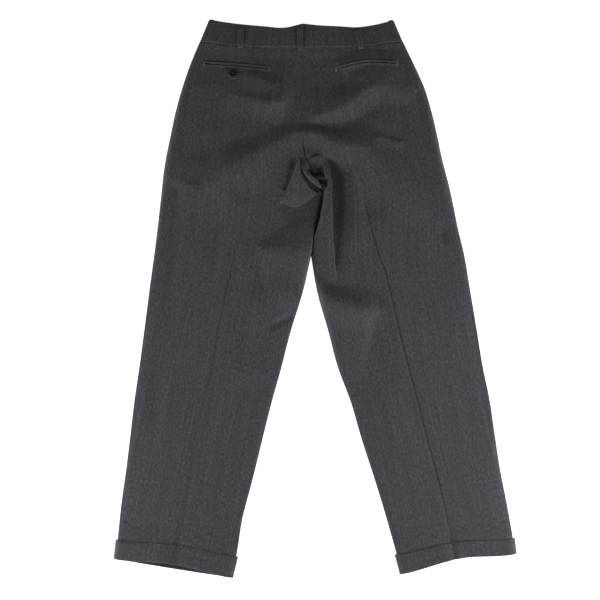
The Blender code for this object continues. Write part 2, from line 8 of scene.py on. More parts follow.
from __future__ import annotations
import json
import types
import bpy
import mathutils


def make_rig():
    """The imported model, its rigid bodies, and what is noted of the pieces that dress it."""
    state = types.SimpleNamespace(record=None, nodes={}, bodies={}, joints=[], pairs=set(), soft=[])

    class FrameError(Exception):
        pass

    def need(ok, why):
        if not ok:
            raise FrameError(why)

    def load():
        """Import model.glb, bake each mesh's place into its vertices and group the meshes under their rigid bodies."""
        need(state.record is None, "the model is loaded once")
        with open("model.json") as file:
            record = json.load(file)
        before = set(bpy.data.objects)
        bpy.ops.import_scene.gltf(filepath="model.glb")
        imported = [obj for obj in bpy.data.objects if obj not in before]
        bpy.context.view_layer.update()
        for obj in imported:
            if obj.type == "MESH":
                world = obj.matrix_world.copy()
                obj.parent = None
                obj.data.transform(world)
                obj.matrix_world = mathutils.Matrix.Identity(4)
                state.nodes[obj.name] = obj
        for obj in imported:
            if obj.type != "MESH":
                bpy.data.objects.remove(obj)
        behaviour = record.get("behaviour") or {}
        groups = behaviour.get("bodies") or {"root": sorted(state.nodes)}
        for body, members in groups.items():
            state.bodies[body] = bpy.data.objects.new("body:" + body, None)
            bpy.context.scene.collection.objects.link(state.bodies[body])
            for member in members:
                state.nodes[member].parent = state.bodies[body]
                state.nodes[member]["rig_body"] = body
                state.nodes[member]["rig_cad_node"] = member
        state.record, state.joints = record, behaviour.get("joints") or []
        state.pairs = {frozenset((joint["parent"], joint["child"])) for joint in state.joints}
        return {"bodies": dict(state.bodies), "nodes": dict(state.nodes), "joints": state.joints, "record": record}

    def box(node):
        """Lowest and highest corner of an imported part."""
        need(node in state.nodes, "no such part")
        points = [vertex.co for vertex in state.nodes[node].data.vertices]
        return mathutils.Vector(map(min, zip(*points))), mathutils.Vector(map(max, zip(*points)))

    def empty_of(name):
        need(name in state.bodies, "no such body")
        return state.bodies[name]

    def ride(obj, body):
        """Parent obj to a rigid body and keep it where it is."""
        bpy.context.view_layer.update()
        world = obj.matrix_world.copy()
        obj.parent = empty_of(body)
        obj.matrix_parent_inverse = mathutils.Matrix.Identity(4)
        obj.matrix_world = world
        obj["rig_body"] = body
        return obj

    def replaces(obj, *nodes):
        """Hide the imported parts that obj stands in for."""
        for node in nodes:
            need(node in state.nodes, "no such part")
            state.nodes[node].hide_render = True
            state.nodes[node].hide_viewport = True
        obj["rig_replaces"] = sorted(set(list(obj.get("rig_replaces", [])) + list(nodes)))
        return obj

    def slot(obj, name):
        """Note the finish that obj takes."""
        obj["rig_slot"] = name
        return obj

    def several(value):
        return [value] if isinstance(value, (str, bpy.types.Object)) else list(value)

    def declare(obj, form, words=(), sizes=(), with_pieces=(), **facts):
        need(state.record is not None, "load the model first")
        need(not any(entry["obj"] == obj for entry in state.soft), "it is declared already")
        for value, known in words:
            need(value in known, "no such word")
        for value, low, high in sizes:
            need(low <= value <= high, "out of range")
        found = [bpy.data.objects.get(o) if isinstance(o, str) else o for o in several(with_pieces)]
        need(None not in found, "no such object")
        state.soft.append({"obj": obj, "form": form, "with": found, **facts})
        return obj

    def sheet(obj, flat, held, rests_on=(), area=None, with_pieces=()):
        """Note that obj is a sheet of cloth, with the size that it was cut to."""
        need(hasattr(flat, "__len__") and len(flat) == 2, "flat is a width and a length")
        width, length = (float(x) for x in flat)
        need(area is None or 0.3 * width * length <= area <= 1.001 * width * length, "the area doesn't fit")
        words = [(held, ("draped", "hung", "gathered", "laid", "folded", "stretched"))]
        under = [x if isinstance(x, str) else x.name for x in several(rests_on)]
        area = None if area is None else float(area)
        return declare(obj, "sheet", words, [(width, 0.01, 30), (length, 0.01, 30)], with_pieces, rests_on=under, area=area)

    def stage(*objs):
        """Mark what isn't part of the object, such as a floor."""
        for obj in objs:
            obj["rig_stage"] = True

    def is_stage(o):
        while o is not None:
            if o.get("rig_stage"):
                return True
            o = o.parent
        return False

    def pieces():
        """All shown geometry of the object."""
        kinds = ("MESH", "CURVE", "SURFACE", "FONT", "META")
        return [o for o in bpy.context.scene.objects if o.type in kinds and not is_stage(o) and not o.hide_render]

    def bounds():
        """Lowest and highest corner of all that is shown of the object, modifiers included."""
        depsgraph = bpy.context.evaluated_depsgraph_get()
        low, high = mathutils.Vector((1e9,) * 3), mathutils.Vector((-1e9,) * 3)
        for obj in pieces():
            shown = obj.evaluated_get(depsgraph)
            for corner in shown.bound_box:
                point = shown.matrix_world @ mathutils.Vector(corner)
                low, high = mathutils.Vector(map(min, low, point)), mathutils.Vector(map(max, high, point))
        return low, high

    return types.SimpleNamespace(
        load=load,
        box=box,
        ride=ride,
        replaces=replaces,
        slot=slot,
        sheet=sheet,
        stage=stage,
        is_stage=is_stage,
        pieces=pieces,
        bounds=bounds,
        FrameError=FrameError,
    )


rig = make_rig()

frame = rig.load()
CAD_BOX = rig.bounds()

import json
import logging
import math
from dataclasses import dataclass
from enum import Enum

import bmesh
import bpy
import numpy as np
from mathutils import Vector, noise
from mathutils.bvhtree import BVHTree

LOG = logging.getLogger("trousers")
MM = 0.001
SEAM_GAP = 0.3
GRAIN_MAP = "Grain"

Point = tuple[float, float]
Pair = tuple[float, float]
Triple = tuple[float, float, float]
Measure = float | tuple[float, ...]
Ends = tuple[np.ndarray, np.ndarray]
Piece = bpy.types.Object
Finish = bpy.types.Material


class Side(Enum):
    """The wearer's left or right, with the way that side lies along X."""

    LEFT = -1
    RIGHT = 1

    @property
    def word(self) -> str:
        """The side's name in the names of pieces."""
        return self.name.lower()

    @property
    def other(self) -> "Side":
        """The other side."""
        return Side(-self.value)


# --------------------------------------------------------------------- numbers


def smooth(low: float, high: float, value: np.ndarray | float) -> np.ndarray:
    """A soft step.

    Args:
        low: where it leaves 0.
        high: where it reaches 1.
        value: one number or an array of them.

    Returns:
        The step's height at each value.
    """
    part = np.clip((np.asarray(value, float) - low) / (high - low), 0.0, 1.0)
    return part * part * (3.0 - 2.0 * part)


def bell(distance: np.ndarray | float, reach: float) -> np.ndarray:
    """1 where the distance is 0, fading to about a third at this reach."""
    return np.exp(-((distance / reach) ** 2))


def through(rows: tuple | np.ndarray, at: np.ndarray) -> np.ndarray:
    """The smooth curve that passes through all rows of a table.

    Args:
        rows: the table, each row some numbers.
        at: row numbers, which may lie between two rows.

    Returns:
        One row of values for each number in at.
    """
    table = np.array(rows, float)
    first = np.clip(np.floor(at).astype(int), 0, len(table) - 2)
    part = (np.asarray(at, float) - first)[..., None]
    padded = np.vstack([2 * table[0] - table[1], table, 2 * table[-1] - table[-2]])
    before, start, end, after = (padded[first + step] for step in range(4))
    leave, arrive = (end - before) / 2, (after - start) / 2
    return (
        start * (2 * part**3 - 3 * part**2 + 1)
        + leave * (part**3 - 2 * part**2 + part)
        + end * (3 * part**2 - 2 * part**3)
        + arrive * (part**3 - part**2)
    )


def curve(rows: tuple | np.ndarray, count: int) -> np.ndarray:
    """The smooth curve through all rows of a table, in this many even steps of row number."""
    return through(rows, np.linspace(0, len(rows) - 1, count))


def normals(points: np.ndarray) -> np.ndarray:
    """Unit normals of a surface that is given as rows of points."""
    normal = np.cross(np.gradient(points, axis=1), np.gradient(points, axis=0))
    return normal / np.linalg.norm(normal, axis=2, keepdims=True)


# ----------------------------------------------------------------------- folds


@dataclass(frozen=True)
class Fold:
    """A ridge, or with a rise below 0 a trough, along a path in plan, fading to both its ends.

    Its rise and the widths of its flanks are one number each, or one for each point of the path.
    """

    path: tuple[Point, ...]
    rise: Measure
    left: Measure  # width of the flank on the left of the path, going along it
    right: Measure
    taper: Pair = (45.0, 45.0)  # length over which it fades at its start and at its end
    crisp: float = 0.75  # 0 for a wave, 1 for even slopes that meet in a crest
    crest_round: float = 0.012  # keeps the crest from being a knife edge
    foot_round: float = 0.06  # and lets the flanks run out softly
    fine: int = 8  # steps from point to point of the path
    least_flank: float = 1.0

    def line(self) -> np.ndarray:
        """Finds the fold's sizes all along its path.

        Returns:
            Rows of x, y, rise and both widths, close together.
        """
        count = len(self.path)
        sizes = [np.broadcast_to(np.array(size, float), count) for size in (self.rise, self.left, self.right)]
        return curve(np.column_stack([np.array(self.path, float), *sizes]), self.fine * (count - 1) + 1)

    def section(self, out: np.ndarray) -> np.ndarray:
        """The fold's cross-section.

        Args:
            out: how far out the points lie, from 0 at the crest to 1 at the foot.

        Returns:
            The share of the rise that is left there.
        """
        foot = np.cos(np.pi / 2 * np.minimum(2 - 2 * out, 1)) ** 2
        tent = 1 - np.sqrt(out**2 + self.crest_round * (1 - out)) + self.foot_round * foot
        return np.cos(np.pi / 2 * out) ** 2 * (1 - self.crisp) + tent * self.crisp

    def add_to(self, points: np.ndarray, rise: np.ndarray) -> None:
        """Adds this fold to the heights of the points.

        Args:
            points: places in plan, one row each.
            rise: their heights, changed in place.
        """
        line = self.line()
        reach = line[:, 3:].max()
        place = line[:, :2]
        inside = np.all((points > place.min(0) - reach) & (points < place.max(0) + reach), axis=1)
        near = np.flatnonzero(inside)
        if not len(near):
            return
        run = np.diff(place, axis=0)
        length = np.linalg.norm(run, axis=1)
        start = np.concatenate([[0.0], np.cumsum(length)[:-1]])
        away = points[near][:, None, :] - place[None, :-1]
        part = np.clip((away * run).sum(2) / length**2, 0.0, 1.0)
        distance = np.linalg.norm(away - run * part[..., None], axis=2)
        closest = distance.argmin(1)
        pick = (np.arange(len(near)), closest)
        turn = run[closest, 0] * away[pick][:, 1] - run[closest, 1] * away[pick][:, 0]
        sizes = line[closest] + (line[closest + 1] - line[closest]) * part[pick][:, None]
        flank = np.maximum(np.where(turn > 0, sizes[:, 3], sizes[:, 4]), self.least_flank)
        across = self.section(np.clip(distance[pick] / flank, 0.0, 1.0))
        along = start[closest] + part[pick] * length[closest]
        fade = smooth(-0.01, self.taper[0], along) * smooth(-0.01, self.taper[1], length.sum() - along)
        rise[near] += sizes[:, 2] * across * fade


# Folds of the seat.
SEAT_FOLDS = (
    # Right seat: a ridge runs from the centre seam up and out to the hip, where it levels out above.
    Fold(((-14, 357), (10, 358), (30, 364), (50, 374), (70, 388), (90, 402), (110, 413), (130, 418),
          (150, 411), (172, 403), (196, 386)),
         (5.5, 6.5, 8.5, 10.5, 11.5, 11.2, 10, 9, 7, 4.5, 1.5),
         (58, 62, 54, 46, 36, 34, 40, 50, 64, 64, 50), (16, 18, 25, 33, 38, 38, 38, 38, 36, 28, 22),
         (12, 20)),
    # Left seat: a broad fall under the pocket, with a narrow dark line along its top.
    Fold(((-205, 402), (-176, 402), (-149, 396), (-115, 388), (-84, 380), (-64, 372), (-44, 362)),
         (0.6, 2, 4.4, 7, 8.5, 6, 1.5), (60, 70, 80, 80, 80, 60, 40), (40, 42, 42, 42, 38, 34, 26),
         (24, 24)),
    # Long soft falls up the middle of the seat.
    Fold(((-88, 387), (-70, 384), (-42, 378)), (4, 4, 1), 96, 14, (9, 26), 0.5),
    Fold(((-176, 399), (-149, 397), (-115, 389), (-75, 382), (-58, 377)), 1.6, 9, 30, (14, 14)),
    # The arch over the legs.
    Fold(((-238, 205), (-212, 212), (-196, 226), (-183, 244), (-162, 260), (-130, 276), (-100, 291),
          (-70, 309), (-40, 321), (-10, 324), (14, 318), (34, 308), (54, 300), (80, 298), (102, 288),
          (126, 266), (150, 240), (174, 208), (196, 180), (218, 146)),
         (1.5, 5, 8, 9.5, 12, 11, 8.5, 7.6, 6.5, 7, 8, 9.6, 11, 12.2, 11, 8.5, 7, 6.2, 5, 2),
         (14, 24, 30, 34, 42, 38, 31, 28, 22, 18, 21, 30, 38, 46, 46, 40, 38, 46, 44, 34),
         (60, 84, 94, 94, 90, 76, 60, 46, 34, 28, 28, 34, 48, 62, 64, 62, 60, 58, 56, 44), (40, 30)),
    Fold(((-274, 226), (-246, 222), (-214, 216)), 2.2, 14, 44, (8, 20)),
    # Right hip: a small ridge in the arch's hollow.
    Fold(((112, 320), (135, 313), (160, 305), (180, 306)), (1.5, 2.4, 3, 3), 9, 16, (14, 14), 0.5),
    Fold(((108, 364), (124, 347), (150, 321)), 1.6, 24, 30, (20, 20)),
    # Round the pockets.
    Fold(((-146, 434), (-118, 432), (-88, 422), (-74, 408)), 4.0, 18, 28, (16, 16)),
    Fold(((-136, 482), (-106, 490), (-66, 479)), -1.8, 18, 24, (20, 20)),
    Fold(((-72, 479), (-70, 426), (-66, 388)), -2.2, 8, 12, (20, 20)),
    Fold(((-60, 496), (-56, 446), (-53, 408)), -0.8, 12, 12, (20, 30)),
    Fold(((8, 492), (6, 440), (4, 392)), -1.8, 9, 11, (25, 25)),
    Fold(((40, 447), (56, 459), (97, 468), (144, 468), (178, 456)), (3.2, 5, 5, 3.8, 1.8),
         (14, 18, 20, 18, 16), (20, 44, 58, 58, 54), (14, 30)),
    Fold(((54, 427), (75, 432), (104, 440)), 2.4, 10, 24, (15, 15)),
    Fold(((-233, 420), (-205, 421), (-177, 422)), 1.6, 20, 50, (16, 16)),
    Fold(((-262, 398), (-250, 352), (-240, 320)), 1.4, 26, 26, (40, 40)),
    # Left hip and thigh.
    Fold(((-270, 287), (-238, 287), (-188, 289)), -1.6, 30, 27, (20, 20)),
    Fold(((-240, 347), (-216, 330), (-174, 328)), 0.9, 15, 20, (30, 30)),
    Fold(((-160, 169), (-120, 234), (-98, 264)), -1.0, 28, 34, (40, 40)),
    Fold(((-268, 180), (-236, 151), (-262, 97)), -2.0, 40, 36, (40, 40)),
    Fold(((208, 190), (217, 128), (222, 100)), 1.8, 30, 24, (40, 40)),
)
# Folds round the crotch, where the cloth is pushed together.
CROTCH_FOLDS = (
    # Lip of the seam's right side.
    Fold(((-18, 322), (-17, 297), (-12, 274)), 1.8, 4, 8, (8, 6)),
    # Hole under the end of the centre seam, which the cloth above it slopes into.
    Fold(((-24, 252), (-10, 246), (4, 244), (15, 246)), -7.0, (10, 28, 32, 22), 10, (8, 6)),
    # Grooves beside the flap of the left leg, and the shade under it.
    Fold(((-34, 276), (-45, 247), (-52, 226), (-61, 209)), -2.9, 9, 15, (14, 10)),
    Fold(((-64, 193), (-56, 184), (-38, 179), (-13, 193), (12, 208)), (-4, -5, -5.5, -5.5, -4),
         (4, 8, 10, 10, 8), (14, 24, 36, 36, 20), (8, 6), 1.0),
    Fold(((-122, 94), (-94, 96), (-64, 94), (-34, 91), (-2, 88)), (1.5, 7.5, 12, 13.5, 8),
         (10, 26, 50, 70, 60), (40, 84, 100, 104, 90), (24, 6), 0.95),
    # Groove on the right of the flap of the right leg, and the one below its end.
    Fold(((16, 286), (27, 256), (33, 226), (35, 171), (37, 107), (42, 50)), (-7, -8, -8, -7, -4, -2.5),
         (10, 26, 44, 46, 34, 22), 12, (22, 40)),
    Fold(((66, 262), (78, 200), (82, 150), (82, 80)), 3.0, 26, 40, (30, 40), 0.1),
    Fold(((-2, 42), (24, 6), (56, -8), (92, -16), (122, -22), (150, -22)), (4, 8, 9, 8, 4.5, 2),
         (8, 24, 36, 34, 24, 14), (34, 44, 48, 48, 40, 34), (6, 24)),
    Fold(((14, 14), (52, -10), (92, -20), (128, -28)), (3.5, 7.5, 7.5, 4.5), (20, 34, 34, 26),
         (130, 170, 170, 140), (10, 24), 0.9),
)
# Folds down the legs.
LEG_FOLDS = (
    # Left leg: pinch at the knee, and soft bends across it.
    Fold(((-37, -33), (-62, -43), (-94, -60)), -4.2, 9, 13, (3, 22)),
    Fold(((-42, 16), (-66, 11), (-92, -2), (-124, -14), (-152, -20)), (5.5, 6, 5, 3.4, 1.5), 90, 44,
         (4, 24)),
    Fold(((-84, -144), (-130, -149), (-176, -154)), 3.4, 24, 70, (8, 30)),
    # Hollows along the side seams.
    Fold(((-272, 236), (-277, 180), (-282, 80), (-286, 0), (-298, -80), (-314, -160), (-326, -260)),
         (-5.5, -6, -6, -4.6, -3.4, -2.6, -1.6), 26, (16, 20, 20, 20, 18, 16, 14), (24, 60)),
    Fold(((243, 152), (249, 128), (256, 104)), -3.4, 12, 10, (22, 22)),
    Fold(((296, 30), (312, -60), (330, -190), (346, -300)), -2.2, 14, 20, (50, 80)),
    Fold(((96, -60), (150, -150), (186, -250)), 1.4, 34, 34, (80, 120)),
    Fold(((-150, 60), (-190, -60), (-214, -190)), 1.2, 30, 34, (80, 120)),
    # The cloth breaks at the crease, and its inner half falls away.
    Fold(((-130, 214), (-145, 140), (-161, 70), (-178, -10), (-198, -120)), (2.5, 3.6, 3.6, 2.8, 1.6),
         (30, 34, 34, 30, 26), 64, (40, 80)),
    Fold(((97, 180), (113, 124), (132, 62), (158, -40), (186, -150)), (2.5, 4.2, 4.2, 3.2, 1.8), 64,
         (30, 36, 36, 30, 26), (40, 80)),
    # The cuffs, pinched at the crease, where the hem gapes.
    Fold(((-262, -448), (-270, -486), (-278, -515)), -2.6, 12, 14, (26, 3)),
    Fold(((258, -440), (266, -480), (272, -512)), -2.4, 14, 14, (26, 3)),
    Fold(((-334, -508), (-304, -514), (-275, -519), (-246, -523), (-214, -530)), (1, 4, 5.5, 4, 1), 40, 10,
         (14, 14), 0.9),
    Fold(((208, -526), (240, -519), (268, -513), (296, -510)), (1, 4, 4.5, 1), 36, 10, (14, 14), 0.9),
    Fold(((-392, -474), (-358, -478), (-322, -483)), 2.4, 7, 34, (6, 16)),
)
ALL_FOLDS = SEAT_FOLDS + CROTCH_FOLDS + LEG_FOLDS


# ------------------------------------------------------------------------- cut


CENTRE_SEAM = (
    (-24, 491), (-24, 446), (-24, 397), (-24, 354), (-24, 317), (-18, 276),
    (-2, 247), (14, 218), (12, 183), (4, 138), (-8, 83),
)  # fmt: skip
# Height of the back over its edges, and how far the inner edge is free to fall, at each level.
LOFT = (
    (4.0, 0.0), (5.2, 0.0), (6.4, 0.0), (7.6, 0.0), (8.7, 0.0), (9.5, 0.0), (9.8, 0.0), (9.2, 0.3),
    (8.0, 0.8), (6.8, 1.0), (5.8, 1.0), (5.0, 1.0), (4.4, 1.0), (4.0, 1.0), (3.8, 1.0), (3.8, 1.0),
    (3.8, 1.0), (3.8, 1.0), (4.0, 1.0), (4.0, 1.0),
)  # fmt: skip
# The soft, low bends that any cloth keeps when it lies: height, width and length, and where the noise starts.
BENDS = ((1.0, 95, 150, 3.7), (0.4, 38, 60, 11.3))


def unevenness(x: float, y: float) -> float:
    """Height of the cloth's own bends at a place in plan."""
    return sum(high * noise.noise(Vector((x / wide, y / long, start))) for high, wide, long, start in BENDS)


@dataclass(frozen=True)
class Leg:
    """One half of the trousers in plan, with the heights of its back.

    Fields that end in levels say between which two levels something sets in or fades.
    """

    side: Side
    side_seam: tuple[Point, ...]  # levels 0 to 19
    inseam: tuple[Point, ...]  # levels 10 to 19
    crease: tuple[Triple, ...]  # the pressed crease, from the hem up: x, y and depth
    hem_bow: float  # how far the middle of the hem lies above a straight line
    hem_bow_levels: Pair = (17.0, 18.6)
    waist_bow: float = -4.0
    waist_bow_levels: Pair = (0.0, 1.5)
    fork_level: float = 10.0
    hem_level: float = 19.0
    edge_reach: float = 15.0  # width over which the cloth curls down to an edge
    tight_reach: float = 6.0  # the same above the fork, at the cleft
    tight_levels: Pair = (9.8, 11.5)
    cleft: float = 3.4  # half the width of the dark cleft between the legs
    cleft_top_levels: Pair = (6.6, 7.4)
    cleft_end_levels: Pair = (9.3, 10.0)
    edge_height: float = 2.1
    least_loft: float = 0.4
    front_lift: float = 1.6  # how far the belt loops and the cuffs under the front raise it
    loop_levels: Pair = (0.05, 0.6)
    cuff_levels: Pair = (17.5, 18.0)
    grain_across: float = 0.52
    crease_reach: float = 2.4
    crease_points: int = 200
    search: tuple[float, float, int] = (0.2, 0.8, 80)  # span of the width that holds the crease, and steps
    ditch_depth: Pair = (0.6, 2.6)  # how far the centre seam draws the cloth down, above and below
    ditch_levels: Pair = (3.0, 4.6)
    ditch_reach: float = 2.0
    waist_dip: float = 0.7  # and so does the waistband's, mostly near the side seam
    waist_dip_across: Pair = (0.2, 0.45)
    waist_reach: float = 2.4
    level_step: float = 45.0  # distance between the levels over the seat

    def outer(self, level: np.ndarray) -> np.ndarray:
        """Places of the side seam at these levels."""
        return through(self.side_seam, level)

    def inner(self, level: np.ndarray) -> np.ndarray:
        """Places of the inner edge.

        Args:
            level: the levels.

        Returns:
            Points of the centre-back seam, or below the fork of the inseam.
        """
        level = np.asarray(level, float)
        seam = through(CENTRE_SEAM, np.minimum(level, self.fork_level))
        inseam = through(self.inseam, np.maximum(level - self.fork_level, 0.0))
        return np.where((level <= self.fork_level)[..., None], seam, inseam)

    def width(self, level: np.ndarray) -> np.ndarray:
        """Width of the panel at these levels."""
        return np.linalg.norm(self.inner(level) - self.outer(level), axis=-1)

    def place(self, level: np.ndarray, across: np.ndarray, is_front: bool = False) -> np.ndarray:
        """Points of a panel seen from above.

        Args:
            level: one level for each row.
            across: for each row, where its points lie from side seam to inner edge.
            is_front: True for the front panel, whose left hem is straight.

        Returns:
            An array of rows of points in plan.
        """
        outer, inner = self.outer(level)[:, None], self.inner(level)[:, None]
        point = outer + (inner - outer) * across[..., None]
        hem = 0.0 if is_front and self.side is Side.LEFT else self.hem_bow
        waist = self.waist_bow * (1 - smooth(*self.waist_bow_levels, level))
        bow = waist + hem * smooth(*self.hem_bow_levels, level)
        point[..., 1] += bow[:, None] * np.sin(np.pi * np.clip(across, 0, 1)) ** 2
        return point

    def curl(self, distance: np.ndarray, tight: np.ndarray | float = 0.0) -> np.ndarray:
        """How far the cloth has stopped curling down to an edge.

        Args:
            distance: how far it is from the edge.
            tight: 0 for a wide curl and 1 for a tight one.

        Returns:
            0 at the edge and 1 where the cloth lies flat again.
        """
        reach = self.edge_reach + (self.tight_reach - self.edge_reach) * tight
        round_off = 1 - (1 - np.clip(distance / reach, 0, 1)) ** 2
        return 0.5 * np.sqrt(round_off) + 0.5 * round_off

    def lift(self, level: np.ndarray) -> np.ndarray:
        """How far the front lies over the belt loops and the cuffs."""
        return self.front_lift * (1 - smooth(*self.loop_levels, level) + smooth(*self.cuff_levels, level))

    def body(self, level: np.ndarray, points: np.ndarray) -> np.ndarray:
        """Height of the back above its edges, with its folds.

        Args:
            level: one level for each row.
            points: rows of points in plan.

        Returns:
            The heights of the points.
        """
        flat = points.reshape(-1, 2)
        rise = np.array([unevenness(x, y) for x, y in flat])
        for fold in ALL_FOLDS:
            fold.add_to(flat, rise)
        line = self.crease_line()
        beside = flat[:, 0] - np.interp(flat[:, 1], line[:, 1], line[:, 0])
        rise -= np.interp(flat[:, 1], line[:, 1], line[:, 2]) * bell(beside, self.crease_reach)
        loft = through(LOFT, level)[:, 0][:, None]
        return np.maximum(loft + rise.reshape(points.shape[:2]), self.least_loft)

    def fall(self, level: np.ndarray, across: np.ndarray) -> np.ndarray:
        """Share of its height that the back keeps as it curls down to its edges.

        Args:
            level: one level for each row.
            across: where the points of each row lie.

        Returns:
            The share at each point.
        """
        wide = self.width(level)[:, None]
        free = through(LOFT, level)[:, 1][:, None]
        opened = smooth(*self.cleft_top_levels, level) * (1 - smooth(*self.cleft_end_levels, level))
        tight = (1 - smooth(*self.tight_levels, level))[:, None]
        inner = self.curl(np.maximum((1 - across) * wide - self.cleft * opened[:, None], 0), tight)
        return self.curl(across * wide) * (1 - free * (1 - inner))

    def crease_line(self) -> np.ndarray:
        """Points along the pressed crease, from the hem up."""
        return curve(self.crease, self.crease_points)

    def crease_across(self, level: np.ndarray) -> np.ndarray:
        """Where the pressed crease crosses the panel.

        Args:
            level: the levels to look at.

        Returns:
            For each level, how far across it lies.
        """
        share = np.linspace(*self.search)
        plan = self.place(level, np.repeat(share[None], len(level), 0))
        line = self.crease_line()
        off = (np.interp(plan[..., 1], line[:, 1], line[:, 0]) - plan[..., 0]) * self.side.value
        return np.array([np.interp(0.0, row, share) for row in off])

    def height(self, level: np.ndarray, across: np.ndarray) -> np.ndarray:
        """Height of the upper face of the back panel, but for what its seams draw down."""
        high = self.body(level, self.place(level, across)) * self.fall(level, across)
        return (self.edge_height + self.lift(level))[:, None] + high

    def back(self, level: np.ndarray, across: np.ndarray) -> np.ndarray:
        """Points of the upper face of the back panel, drawn down along its seams.

        Args:
            level: one level for each row.
            across: where the points of each row lie.

        Returns:
            Rows of points.
        """
        seam = 1 - through(LOFT, level)[:, 1][:, None]
        from_seam = (1 - across) * self.width(level)[:, None]
        high, low = self.ditch_depth
        depth = (high + (low - high) * smooth(*self.ditch_levels, level))[:, None] * seam
        ditch = depth * bell(from_seam, self.ditch_reach)
        dip = self.waist_dip * bell(level[:, None] * self.level_step, self.waist_reach)
        ditch += dip * (1 - smooth(*self.waist_dip_across, across))
        return np.dstack([self.place(level, across), self.height(level, across) - ditch])

    def grain(self, level: np.ndarray, across: np.ndarray, plan: np.ndarray) -> np.ndarray:
        """Where points in plan lie across and along the grain of the cloth, in metres."""
        sideways = (across - self.grain_across) * self.width(level)[:, None]
        return np.dstack([sideways, plan[..., 1]]) * MM

    def piece(self, name: str, node: str, solids: list[Solid], cloth: Finish) -> Piece:
        """Makes a cloth piece of this side of the garment.

        Args:
            name: what its name says between the cloth and the side.
            node: the CAD node that it stands for, without its side.
            solids: its solids.
            cloth: its finish.

        Returns:
            The piece.
        """
        piece = make_piece(f"cloth_{name}_{self.side.word}", solids, cloth)
        return dress(piece, "suiting", f"{node}_{self.side.word}")


LEFT_LEG = Leg(
    Side.LEFT,
    side_seam=(
        (-225, 503), (-244, 458), (-260, 411), (-273, 364), (-283, 317), (-291, 278), (-296, 247),
        (-299, 220), (-303, 183), (-308, 138), (-315, 83), (-324, 17), (-334, -61), (-343, -129),
        (-353, -197), (-361, -264), (-369, -330), (-379, -402), (-385, -461), (-390, -507),
    ),
    inseam=(
        (-8, 83), (-24, 13), (-48, -65), (-66, -135), (-86, -207), (-104, -279), (-122, -353),
        (-142, -429), (-152, -492), (-164, -543),
    ),
    crease=(
        (-277, -510, 0.4), (-258, -431, 1.8), (-225, -231, 1.4), (-205, -152, 2.4), (-186, -41, 2.8),
        (-160, 75, 2.6), (-134, 200, 0.2), (-122, 320, 0), (-119, 512, 0),
    ),
    crease_reach=4.6,
    tight_reach=4.5,
    cleft=1.2,
    hem_bow=9.0,
)  # fmt: skip
RIGHT_LEG = Leg(
    Side.RIGHT,
    side_seam=(
        (171, 503), (193, 458), (214, 411), (228, 364), (239, 317), (247, 278), (255, 247), (262, 220),
        (270, 183), (279, 138), (292, 83), (303, 17), (316, -61), (327, -129), (341, -197), (351, -264),
        (361, -330), (375, -402), (385, -459), (390, -497),
    ),
    inseam=(
        (-8, 83), (4, 13), (26, -65), (44, -133), (70, -203), (91, -275), (114, -346), (135, -414),
        (156, -488), (169, -536),
    ),
    crease=(
        (272, -502, 0.6), (249, -392, 1.8), (224, -295, 1.8), (190, -164, 2.0), (165, -67, 2.2),
        (140, 42, 2.2), (126, 80, 2.2), (101, 167, 1.6), (84, 240, 0), (77, 340, 0), (74, 512, 0),
    ),
    hem_bow=11.0,
)  # fmt: skip
LEGS = {Side.LEFT: LEFT_LEG, Side.RIGHT: RIGHT_LEG}


# -------------------------------------------------------------------- finishes


def linear(code: str) -> tuple[float, float, float, float]:
    """Turns an sRGB hex colour into Blender's linear values."""
    parts = [int(code[start : start + 2], 16) / 255 for start in (1, 3, 5)]
    return (*[p / 12.92 if p <= 0.04045 else ((p + 0.055) / 1.055) ** 2.4 for p in parts], 1.0)


def add_node(tree: bpy.types.NodeTree, kind: str, inputs: dict, **settings: object) -> bpy.types.Node:
    """Adds a node.

    Args:
        tree: the tree that it goes into.
        kind: the node's type.
        inputs: for each input, the output that is linked to it or its value.
        settings: the node's own settings.

    Returns:
        The new node.
    """
    node = tree.nodes.new(kind)
    for name, value in settings.items():
        setattr(node, name, value)
    for name, value in inputs.items():
        if isinstance(value, bpy.types.NodeSocket):
            tree.links.new(value, node.inputs[name])
        else:
            node.inputs[name].default_value = value
    return node


def start_material(name: str, roughness: float, ior: float) -> tuple[Finish, bpy.types.Node]:
    """Makes a material.

    Args:
        name: the material's name.
        roughness: its roughness, from 0 to 1.
        ior: its index of refraction.

    Returns:
        The material and its shader.
    """
    material = bpy.data.materials.new(name)
    material.use_nodes = True
    shader = material.node_tree.nodes["Principled BSDF"]
    shader.inputs["Roughness"].default_value = roughness
    shader.inputs["IOR"].default_value = ior
    return material, shader


